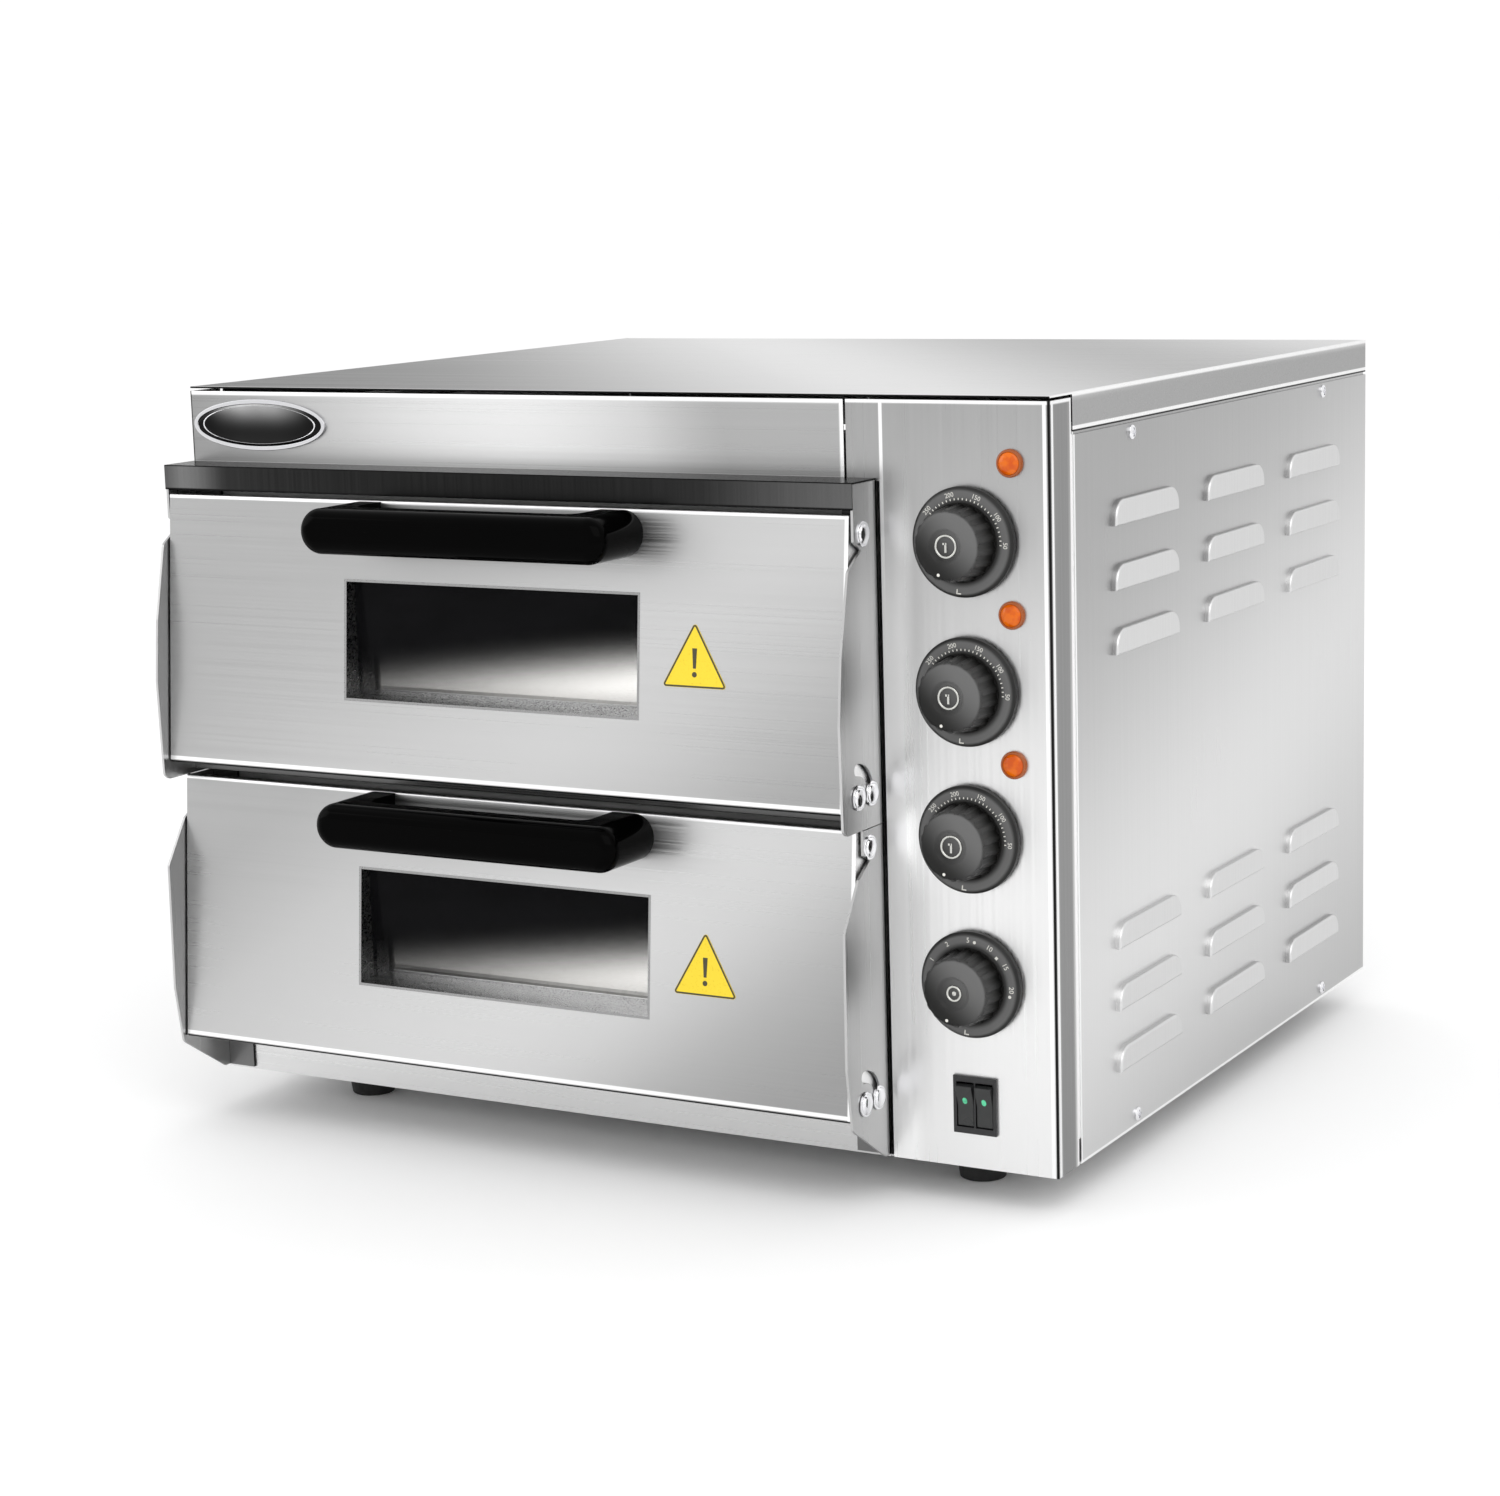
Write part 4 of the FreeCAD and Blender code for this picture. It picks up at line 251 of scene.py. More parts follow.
def steel(name, grain, direction=(0, 0, 1), painted_light_stops=((0, 0.55), (1, 0.6)),
          pale=(), dark=(), painted_light_patches=(), gloss=0.3):
    """Brushed sheet steel: fine lines along the grain, slow clouds, a painted sheen, and painted highlights
    (bright lines) and painted shade lines (dark lines) at its folds.

    A patch is (limits, grey): the part of the sheet where all its limits hold gets another grey, a painted
    light or shade.
    """
    shader = Shader(name, Metallic=1.0, Specular_Tint=0.75)
    base, fine, clouds = brushed(shader, grain, direction, painted_light_stops)
    # painted light and shade in patches, then painted highlight lines (pale) and painted shade lines (dark)
    for limits, shade in painted_light_patches:
        base = shader.mixed(shader.lines((limits,)), base, grey(shade))
    for strips, shade in ((pale, HIGHLIGHT_EDGE_GREY), (dark, SHADE_EDGE_GREY)):
        if strips:
            base = shader.mixed(shader.lines(strips), base, grey(shade))
    return brushed_finish(shader, base, fine, clouds, gloss - 0.06, gloss + 0.08)


def polished(name, tint, gloss=0.12):
    """Bright plated or turned steel with fine handling marks."""
    shader = Shader(name, Metallic=1.0)
    marks = shader.noise(900.0, detail=4.0)
    clouds = shader.noise(60.0, detail=2.0)
    shader.colour(shader.mixed(shader.maths("MULTIPLY", clouds, 0.5), tint, [0.8 * part for part in tint]))
    shader.rough(shader.spread(marks, 0.35, 0.7, gloss * 0.7, gloss * 1.6))
    shader.bump(marks, 0.04)
    return shader.material


def moulded(name, tint, gloss, texture=0.05, scale=1800.0, specular=0.5):
    """Moulded plastic or rubber: a fine pebbled skin and slight changes of tone."""
    shader = Shader(name)
    shader.surface.inputs["Specular IOR Level"].default_value = specular
    skin = shader.grains(scale)
    clouds = shader.noise(45.0, detail=3.0)
    shader.colour(shader.mixed(clouds, [0.8 * part for part in tint], [1.25 * part for part in tint]))
    shader.rough(shader.spread(clouds, 0.3, 0.7, gloss * 0.85, min(1.0, gloss * 1.2)))
    shader.bump(skin, texture)
    return shader.material


def dark_mirror():
    """The upper lintel: mirror steel whose colour is a painted reflection of a dark room, with paler upright
    streaks near its ends.
    """
    low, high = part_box("upper_lintel")
    width = high.x - low.x
    shader = Shader("lintel_steel", Metallic=1.0, Specular_Tint=0.5)
    # painted reflection: near black in the middle, paler streaks near the ends
    base = shader.sweep((1, 0, 0), (
        (low.x, 0.06), (low.x + 0.03 * width, 0.22), (low.x + 0.07 * width, 0.08),
        (low.x + 0.10 * width, 0.012), (low.x + 0.55 * width, 0.008), (low.x + 0.80 * width, 0.012),
        (low.x + 0.90 * width, 0.07), (high.x, 0.12),
    ))
    fine = shader.noise(1.0, GRAIN["z"], 2.0)
    base = shader.mixed(shader.maths("MULTIPLY", fine, 0.02), base, grey(0.9))
    # painted shade lines along the top and bottom edges
    on = shader.lines((("z", high.z, 0.6 * MM), ("z", low.z, 1.1 * MM)))
    shader.colour(shader.mixed(on, base, grey(SHADE_EDGE_GREY)))
    shader.rough(shader.spread(fine, 0.3, 0.7, 0.18, 0.26))
    shader.bump(fine, 0.03)
    return shader.material


SKIRT_SHADE = (20.5 * MM, 24.5 * MM)  # radii between which the skirt turns from a painted shadow, black at the grip's root, to a paler painted highlight
SKIRT_RIM_SHADE = (26.5 * MM, 28.5 * MM)  # radii between which it darkens again, a painted shade at the rim
FACE_HIGHLIGHT_REACH = 20 * MM  # the painted highlight on the face grows from this far down and left of its middle to full this far up and right
FACE_EDGE = (2.6 * MM, 1.4 * MM)  # behind the front, where the grip's side gives way to its face


def knob_black(knob):
    """Satin black moulding with painted light and shade: a painted shadow at the root of the grip, a painted
    highlight on the face up and to the right, and a paler painted band on the skirt that darkens again at its
    rim.
    """
    low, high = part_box(knob)
    shader = Shader(f"{knob}_black")
    shader.surface.inputs["Specular IOR Level"].default_value = 0.12
    across = shader.maths("SUBTRACT", shader.along((1, 0, 0)), (low.x + high.x) / 2)
    upward = shader.maths("SUBTRACT", shader.along((0, 0, 1)), (low.z + high.z) / 2)
    squares = shader.maths("ADD", shader.maths("MULTIPLY", across, across),
                           shader.maths("MULTIPLY", upward, upward))
    away = shader.maths("SQRT", squares)
    reach = shader.maths("SUBTRACT", high.y, shader.along((0, 1, 0)))
    depth = high.y - low.y
    # painted shadow on the skirt at the grip's root, a paler painted highlight further out, and painted shade
    # at the rim
    skirt = shader.mixed(shader.spread(away, *SKIRT_SHADE), grey(0.0005), grey(0.14))
    skirt = shader.mixed(shader.spread(away, *SKIRT_RIM_SHADE), skirt, grey(0.020))
    # painted shadow on the grip's side, darkest at its root
    side = shader.mixed(shader.spread(reach, SKIRT_FACE + 1 * MM, depth - 4 * MM), grey(0.0005), grey(0.045))
    # painted highlight on the face, brightest up and to the right
    wear_and_highlight = shader.spread(shader.maths("ADD", across, upward), -FACE_HIGHLIGHT_REACH, FACE_HIGHLIGHT_REACH)
    face = shader.mixed(wear_and_highlight, grey(0.012), grey(0.135))
    edge = shader.spread(reach, depth - FACE_EDGE[0], depth - FACE_EDGE[1])
    grip = shader.mixed(edge, side, face)
    raised = shader.spread(reach, SKIRT_FACE + 0.2 * MM, SKIRT_FACE + 0.8 * MM)
    tone = shader.mixed(raised, skirt, grip)
    clouds = shader.noise(45.0, detail=3.0)
    shader.colour(shader.mixed(shader.maths("MULTIPLY", clouds, 0.12), tone, (0.060, 0.058, 0.050)))
    shader.rough(shader.spread(clouds, 0.3, 0.7, 0.28, 0.40))
    shader.bump(shader.grains(1800.0), 0.08)
    return shader.material


def badge_dark():
    """Dark polished inlay with a painted highlight in a soft patch near its top, fading to black towards its
    ends.
    """
    low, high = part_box("badge")
    tall, wide = high.z - low.z, high.x - low.x
    shader = Shader("badge_black", Metallic=1.0, Specular_Tint=0.4)
    smears = shader.noise(90.0, detail=4.0)
    # painted highlight near the inlay's top
    painted_highlight = shader.sweep((0, 0, 1), ((low.z, 0.03), (low.z + 0.35 * tall, 0.01), (low.z + 0.6 * tall, 0.05),
                                    (low.z + 0.85 * tall, 0.40), (high.z, 0.30)))
    # the painted highlight fades to black towards the ends
    from_middle = shader.maths("SUBTRACT", shader.along((1, 0, 0)), (low.x + high.x) / 2)
    ends = shader.spread(shader.maths("ABSOLUTE", from_middle), 0.1 * wide, 0.42 * wide)
    shader.colour(shader.mixed(ends, painted_highlight, grey(SHADE_EDGE_GREY)))
    shader.rough(shader.spread(smears, 0.3, 0.7, 0.14, 0.22))
    return shader.material


GLASS_SLOPE = 0.15  # the edge of the painted shade rises this much for each metre to the right
GLASS_CLEAR, GLASS_DARK = 0.012, 0.066  # where the painted shade starts and where it is full, up from the corner


def window_glass(deck):
    """Dark glass that turns opaque towards its top: a painted shade that stands in for the unlit upper part
    of the chamber.
    """
    low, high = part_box(f"{deck}_door_glass")
    shader = Shader(f"{deck}_dark_glass")
    smears = shader.noise(35.0, (1, 1, 3), detail=5.0)
    # painted shade: opaque near-black glass high up, clear low down where the lit stone shows
    up = shader.along((-GLASS_SLOPE, 0, 1))
    start = low.z - GLASS_SLOPE * high.x
    tint = shader.spread(up, start + GLASS_CLEAR, start + GLASS_DARK, 0.0, 0.95)
    shader.feed(shader.surface.inputs["Alpha"], tint)
    shader.surface.inputs["Specular IOR Level"].default_value = 0.03
    shader.colour(shader.mixed(smears, (0.002, 0.002, 0.0022), (0.007, 0.007, 0.008)))
    shader.rough(shader.spread(smears, 0.3, 0.75, 0.02, 0.09))
    return shader.material


def baking_stone():
    shader = Shader("baking_stone")
    grit = shader.noise(420.0, detail=5.0, roughness=0.7)
    pores = shader.grains(260.0)
    tone = shader.mixed(grit, (0.56, 0.55, 0.53), (0.86, 0.85, 0.83))
    shader.colour(shader.mixed(shader.spread(pores, 0.0, 0.25, 0.45, 0.0), tone, (0.30, 0.28, 0.26)))
    shader.rough(0.92)
    shader.bump(grit, 0.5, 0.0004)
    return shader.material


def ceramic_blanket():
    shader = Shader("ceramic_blanket")
    fibres = shader.noise(220.0, (1, 6, 1), detail=6.0, roughness=0.7)
    shader.colour(shader.mixed(fibres, (0.72, 0.72, 0.70), (0.95, 0.95, 0.93)))
    shader.rough(1.0)
    shader.bump(fibres, 0.7, 0.0006)
    return shader.material


def element_sheath():
    """Tube steel that heat has turned dark, with brown and blue clouds."""
    shader = Shader("element_sheath", Metallic=0.8)
    clouds = shader.noise(28.0, detail=4.0)
    scale = shader.noise(700.0, detail=3.0)
    tint = shader.mixed(shader.spread(clouds, 0.35, 0.65), (0.09, 0.07, 0.06), (0.05, 0.055, 0.075))
    shader.colour(shader.mixed(shader.maths("MULTIPLY", scale, 0.35), tint, (0.22, 0.19, 0.17)))
    shader.rough(shader.spread(scale, 0.3, 0.7, 0.42, 0.62))
    shader.bump(scale, 0.2)
    return shader.material


def lamp_glow(name, tint, edge, light):
    """A lit lens: a bright middle with clouds of a deeper colour."""
    shader = Shader(name, Coat_Weight=0.25, Roughness=0.18)
    shader.surface.inputs["Specular IOR Level"].default_value = 0.2
    clouds = shader.noise(160.0, detail=2.0)
    colour = shader.mixed(shader.spread(clouds, 0.4, 0.62), tint, edge)
    shader.colour(colour)
    shader.feed(shader.surface.inputs["Emission Color"], colour)
    shader.surface.inputs["Emission Strength"].default_value = light
    return shader.material


def ink(name, tint):
    """Printed ink with a slightly uneven coat."""
    shader = Shader(name)
    wear_and_highlight = shader.noise(900.0, detail=4.0)
    gaps = shader.spread(wear_and_highlight, 0.55, 0.8, 0.0, 0.5)
    shader.colour(shader.mixed(gaps, tint, [0.55 * part for part in tint]))
    shader.rough(shader.spread(wear_and_highlight, 0.3, 0.7, 0.42, 0.6))
    shader.bump(wear_and_highlight, 0.05)
    return shader.material


# ---------------------------------------------------------------- materials of the CAD nodes
def paint(node, material, bevel=0.0, angle=35):
    """Give a CAD node its material, and soften its sharp edges by a bevel in metres."""
    thing = frame["nodes"][node]
    thing.data.materials.clear()
    thing.data.materials.append(material)
    if bevel:
        thing.modifiers.new("weld", "WELD").merge_threshold = 0.01 * MM
        rounding = thing.modifiers.new("bevel", "BEVEL")
        rounding.width = bevel
        rounding.segments = 2
        rounding.limit_method = "ANGLE"
        rounding.angle_limit = math.radians(angle)
        rounding.use_clamp_overlap = False
        thing.modifiers.new("normals", "WEIGHTED_NORMAL")


# Painted sheen: greys along a direction that stand in for reflected light and shade, as (place in metres,
# grey)
COVER_SHEEN = ((-0.40, 0.01), (-0.19, 0.01), (-0.02, 0.90), (0.08, 0.80),
               (0.20, 0.25), (0.30, 0.55), (0.37, 0.75))
FASCIA_SHEEN = ((-0.26, 0.14), (-0.13, 0.32), (0.02, 0.88), (0.12, 0.56), (0.17, 0.34))
PANEL_SHEEN = ((-0.40, 0.30), (-0.30, 0.42), (-0.18, 0.76), (-0.08, 0.80), (0.03, 0.84))
DOOR_SHEEN = {
    "upper": ((-0.55, 0.33), (-0.42, 0.36), (-0.27, 0.60), (-0.18, 0.48), (-0.10, 0.30)),
    "lower": ((-0.36, 0.33), (-0.28, 0.46), (-0.15, 0.62), (-0.07, 0.58), (-0.01, 0.36), (0.06, 0.26)),
}


def paint_case():
    edge = 1.0 * MM
    low, high = CASE_LOW, CASE_HIGH
    # painted sheen across the cover, a painted shade on its side skirt, painted shade lines (dark) and
    # painted highlights (pale) along its edges and folds
    paint("top_cover", steel(
        "cover_steel", "x", (0.8, 0.6, 0), COVER_SHEEN,
        painted_light_patches=(((("x", high.x, 0.4 * MM), ("z", low.z + 9 * MM, 9 * MM)), 0.40),),
        dark=(("y", low.y, 0.8 * MM), (("x", low.x, 1.2 * MM), ("z", high.z, 1.2 * MM)),
              ("z", low.z + 0.3 * MM, 0.7 * MM)),
        pale=(("y", low.y + 2.4 * MM, edge), (("x", high.x, 2.0 * MM), ("z", high.z, 2.0 * MM)),
              (("y", high.y, 2.0 * MM), ("z", high.z, 2.0 * MM)), ("z", low.z + 2.0 * MM, edge)),
    ), 0.35 * MM)
    low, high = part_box("front_fascia")
    # painted sheen across the fascia, painted highlights (pale) at its top, bottom and right edges, a painted
    # shade line (dark) at its left corner
    paint("front_fascia", steel(
        "fascia_steel", "x", (1, 0, 0.2), FASCIA_SHEEN,
        pale=(("z", high.z, 2.2 * MM), ("z", low.z + 0.6 * MM, edge), ("x", high.x, 2.2 * MM)),
        dark=((("x", low.x, 0.9 * MM), ("y", low.y, 0.9 * MM)),),
    ), 0.35 * MM)
    low, high = PANEL_LOW, PANEL_HIGH
    bay_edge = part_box("upper_right_cheek")[1].x
    # painted sheen down the panel, painted highlights (pale) and a painted shade line (dark) at its folds, a
    # painted shade on its side return and painted light near its left edge
    paint("control_panel", steel(
        "panel_steel", "z", (0.25, 0, -1), PANEL_SHEEN,
        pale=(("x", bay_edge + 3.2 * MM, edge), ("x", high.x - 3.0 * MM, edge), ("z", high.z, 1.8 * MM),
              ("y", high.y, 1.6 * MM), (("x", high.x, edge), ("y", low.y + 3.4 * MM, 1.2 * MM))),
        dark=((("x", high.x, 1.3 * MM), ("y", low.y, 1.3 * MM)),),
        painted_light_patches=(((("x", high.x, 0.3 * MM), ("y", low.y + 14 * MM, 10 * MM)), 0.28),
                 ((("x", bay_edge, 18 * MM), ("y", low.y, 0.5 * MM), ("z", 0.17, 0.19)), 0.95)),
    ))
    for side in ("left", "right"):
        paint(f"{side}_side_panel", side_steel(side))
    # painted sheen along the rear, base, frame and wall sheets, and a painted highlight line (pale) on the
    # base
    paint("rear_panel", steel("rear_steel", "x", (1, 0, 1), ((-0.2, 0.50), (0.2, 0.66), (0.6, 0.50))))
    paint("base_pan", steel("base_steel", "x", (1, 0, 0), ((-0.28, 0.72), (0.0, 0.62), (0.2, 0.55)),
                            pale=(("z", UNDER + 26 * MM, 1.2 * MM),)))
    paint("front_frame", steel("frame_steel", "x", (1, 0, 0), ((-0.28, 0.40), (0.2, 0.46)), gloss=0.35))
    paint("compartment_wall", steel("wall_steel", "z", gloss=0.4))


def side_steel(side):
    """The side panels: a painted sheen down the sheet, pressed louvres painted paler than the flat sheet as a
    painted highlight, and painted highlight lines at the edges.
    """
    low, high = SIDE_LOW, SIDE_HIGH
    shader = Shader(f"{side}_side_steel", Metallic=1.0, Specular_Tint=0.85)
    # painted sheen down the side
    base, fine, clouds = brushed(shader, "z", (0, 0.35, -1), (
        (-0.47, 0.34), (-0.34, 0.42), (-0.20, 0.76), (-0.08, 0.62), (0.07, 0.42),
    ))
    sheet_face = CASE_HIGH.x
    outward = shader.along((1, 0, 0) if side == "right" else (-1, 0, 0))
    # painted highlight on the louvre hoods, which stand out from the sheet
    raised = shader.spread(outward, sheet_face + 1.2 * MM, sheet_face + 2.6 * MM)
    base = shader.mixed(raised, base, grey(0.66))
    flat_front = FRONT + 30 * MM
    # painted highlight lines along the top, the front fold and the bottom
    pale = shader.lines((("z", high.z - 1.0 * MM, 1.4 * MM), ("y", flat_front, 1.6 * MM),
                         ("z", low.z, 1.5 * MM)))
    base = shader.mixed(pale, base, grey(HIGHLIGHT_EDGE_GREY))
    return brushed_finish(shader, base, fine, clouds, 0.25, 0.37)


def paint_doors():
    for deck in DECKS:
        low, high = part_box(f"{deck}_door_outer")
        # painted sheen across each door, painted highlights (pale) at its top, bottom and right edges and a
        # painted shade line (dark) at its foot
        paint(f"{deck}_door_outer", steel(
            f"{deck}_door_steel", "x", (0.8, 0, -1), DOOR_SHEEN[deck],
            pale=(("z", high.z - 1.2 * MM, 1.2 * MM), ("z", low.z + 3.0 * MM, 1.1 * MM),
                  ("x", high.x - 1.0 * MM, 1.3 * MM)),
            dark=(("z", low.z + 0.6 * MM, 0.8 * MM),),
        ))
        paint(f"{deck}_door_inner", steel(f"{deck}_inner_steel", "x", gloss=0.36))
        paint(f"{deck}_window_trim", polished(f"{deck}_trim_steel", (0.34, 0.34, 0.34), 0.30))
        for side in ("left", "right"):
            low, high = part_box(f"{deck}_{side}_cheek")
            # painted sheen on each cheek, paler towards its foot, and a painted shade line (dark) along its
            # front edge
            paint(f"{deck}_{side}_cheek", steel(
                f"{deck}_{side}_cheek_steel", "z", (0, 0, -1), ((-high.z, 0.42), (-low.z, 0.54)),
                dark=(("y", FRONT - 0.4 * MM, 1.2 * MM),)))
        # painted sheen in each chamber
        paint(f"{deck}_chamber", steel(f"{deck}_liner_steel", "x", painted_light_stops=((0, 0.42), (1, 0.46)), gloss=0.42))
    # upper lintel: painted reflection; lower lintel: painted near black, a painted shade in the gap between
    # the doors
    paint("upper_lintel", dark_mirror(), 0.3 * MM)
    lintel_shade = steel("lower_lintel_steel", "x", painted_light_stops=((0, 0.05), (1, 0.06)), gloss=0.25)
    paint("lower_lintel", lintel_shade, 0.3 * MM)


def paint_rest():
    handle = moulded("handle_black", (0.0006, 0.0006, 0.0006), 0.10, 0.01, specular=0.025)
    chrome = polished("shaft_steel", (0.62, 0.62, 0.63))
    dark_case = moulded("control_case", (0.045, 0.045, 0.05), 0.55, 0.2)
    switch = moulded("switch_black", (0.012, 0.012, 0.013), 0.3, 0.06)
    stone_surface = baking_stone()
    blanket = ceramic_blanket()
    sheath = element_sheath()
    for deck in DECKS:
        paint(f"{deck}_door_glass", window_glass(deck))
        paint(f"{deck}_door_handle", handle)
        paint(f"{deck}_handle_screws", chrome)
        paint(f"{deck}_stone", stone_surface)
        paint(f"{deck}_insulation", blanket)
        for level in ("top", "bottom"):
            paint(f"{deck}_{level}_element", sheath)
    for name in KNOBS:
        paint(name, knob_black(name), 0.25 * MM, 40)
        paint(f"{name}_shaft", chrome)
    paint("sensor_bulbs", polished("sensor_copper", (0.58, 0.33, 0.22), 0.25))
    paint("thermostats", dark_case, 0.4 * MM)
    paint("timer", dark_case, 0.4 * MM)
    paint("terminal_block", moulded("terminal_cream", (0.62, 0.58, 0.48), 0.5, 0.1), 0.4 * MM)
    paint("switch_housing", switch, 0.4 * MM)
    for side in ("left", "right"):
        paint(f"rocker_{side}", moulded(f"rocker_{side}_black", (0.02, 0.021, 0.021), 0.28, 0.05), 0.4 * MM)
    paint("cable_gland", moulded("gland_black", (0.02, 0.02, 0.022), 0.5, 0.2), 0.4 * MM)
    paint("feet", moulded("foot_rubber", (0.012, 0.012, 0.012), 0.75, 0.4, 1200.0), 0.8 * MM)
    paint("badge", polished("badge_rim", (0.72, 0.72, 0.74), 0.1), 0.25 * MM)


# ---------------------------------------------------------------- mesh makers
def made(name, bm, materials, smooth=35):
    """An object from a bmesh, smooth except at edges sharper than an angle in degrees."""
    mesh = bpy.data.meshes.new(name)
    bmesh.ops.recalc_face_normals(bm, faces=bm.faces)
    bm.to_mesh(mesh)
    bm.free()
    mesh.shade_smooth()
    mesh.set_sharp_from_angle(angle=math.radians(smooth))
    for material in materials:
        mesh.materials.append(material)
    thing = bpy.data.objects.new(name, mesh)
    bpy.context.scene.collection.objects.link(thing)
    return thing


def facing(direction, origin):
    """A frame whose Z points along a direction, with X level."""
    out = Vector(direction).normalized()
    level = Vector((0, 0, 1)).cross(out)
    if level.length < 1e-6:
        level = Vector((1, 0, 0))
    level.normalize()
    up = out.cross(level)
    return Matrix.Translation(origin) @ Matrix((level, up, out)).transposed().to_4x4()


def turn(bm, profile, place, segments=48, material=0, flatten=(1, 1)):
    """Spin a profile of (radius, height) points round Z, in a frame; flatten scales X and Y."""
    rings = []
    for radius, height in profile:
        if radius < 1e-9:
            rings.append([bm.verts.new(place @ Vector((0, 0, height)))])
            continue
        rings.append([
            bm.verts.new(place @ Vector((radius * flatten[0] * math.cos(turned),
                                         radius * flatten[1] * math.sin(turned), height)))
            for turned in (2 * math.pi * step / segments for step in range(segments))
        ])
    for lower, upper in zip(rings, rings[1:]):
        for step in range(segments):
            after = (step + 1) % segments
            corners = [lower[step % len(lower)], lower[after % len(lower)],
                       upper[after % len(upper)], upper[step % len(upper)]]
            face = bm.faces.new(list(dict.fromkeys(corners)))
            face.material_index = material


def dome(radius, height, steps=8):
    """Profile of a shallow dome from its rim to its top."""
    return [(radius * math.cos(math.pi / 2 * step / steps), height * math.sin(math.pi / 2 * step / steps))
            for step in range(steps + 1)]


def slab(bm, outline, place, low, high, material=0):
    """A flat closed shape between two heights of a frame."""
    lower = [bm.verts.new(place @ Vector((x, y, low))) for x, y in outline]
    upper = [bm.verts.new(place @ Vector((x, y, high))) for x, y in outline]
    faces = [bm.faces.new(lower[::-1]), bm.faces.new(upper)]
    for index in range(len(outline)):
        after = (index + 1) % len(outline)
        faces.append(bm.faces.new((lower[index], lower[after], upper[after], upper[index])))
    for face in faces:
        face.material_index = material


def band(bm, outer, inner, place, low, high, material=0):
    """A closed strip between two outlines that have the same number of points."""
    rows = [[bm.verts.new(place @ Vector((x, y, height))) for x, y in outline]
            for outline, height in ((outer, low), (outer, high), (inner, high), (inner, low))]
    for index in range(len(outer)):
        after = (index + 1) % len(outer)
        for row, following in zip(rows, rows[1:] + rows[:1]):
            face = bm.faces.new((row[index], row[after], following[after], following[index]))
            face.material_index = material


def rounded_triangle(base, height, radius, inset=0.0, steps=6):
    """An upright triangle with round corners, its middle of area at the origin."""
    corners = [Vector((-base / 2, 0)), Vector((base / 2, 0)), Vector((0, height))]
    middle = sum(corners, Vector((0, 0))) / 3
    points = []
    for index, corner in enumerate(corners):
        before = (corners[index - 1] - corner).normalized()
        after = (corners[(index + 1) % 3] - corner).normalized()
        inward = (before + after).normalized()
        half = before.angle(after) / 2
        centre = corner + inward * (radius / math.sin(half))
        start = Vector((before.y, -before.x))
        if start.dot(inward) > 0:
            start = -start
        end = Vector((after.y, -after.x))
        if end.dot(inward) > 0:
            end = -end
        for step in range(steps + 1):
            spoke = start.slerp(end, step / steps)
            point = centre + spoke * (radius - inset) - middle
            points.append((point.x, point.y))
    return points


def lettering(bm, text, size, thickness, place):
    """Raised characters of the built-in face, centred on a frame."""
    curve = bpy.data.curves.new("characters", "FONT")
    curve.body = text
    curve.size = size
    curve.extrude = thickness / 2
    curve.align_x = "CENTER"
    curve.align_y = "CENTER"
    curve.resolution_u = 3
    holder = bpy.data.objects.new("characters", curve)
    shape = bpy.data.meshes.new_from_object(holder)
    shape.transform(place)
    bm.from_mesh(shape)
    bpy.data.objects.remove(holder)
    bpy.data.curves.remove(curve)
    bpy.data.meshes.remove(shape)


# ---------------------------------------------------------------- dressed fasteners
SCREW_RISE = 2 * MM


def dress_screws(material):
    """Pan-head side screws with a cross recess."""
    bm = bmesh.new()
    for low, high in solids("case_screws"):
        way, base = (1, CASE_HIGH.x) if high.x > 0 else (-1, CASE_LOW.x)
        centre = (low + high) / 2
        place = facing((way, 0, 0), Vector((base, centre.y, centre.z)))
        cross(bm, place, (high.z - low.z) / 2, SCREW_RISE)
    thing = made("case_screw_heads", bm, [material])
    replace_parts(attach(thing, "case"), "case_screws")


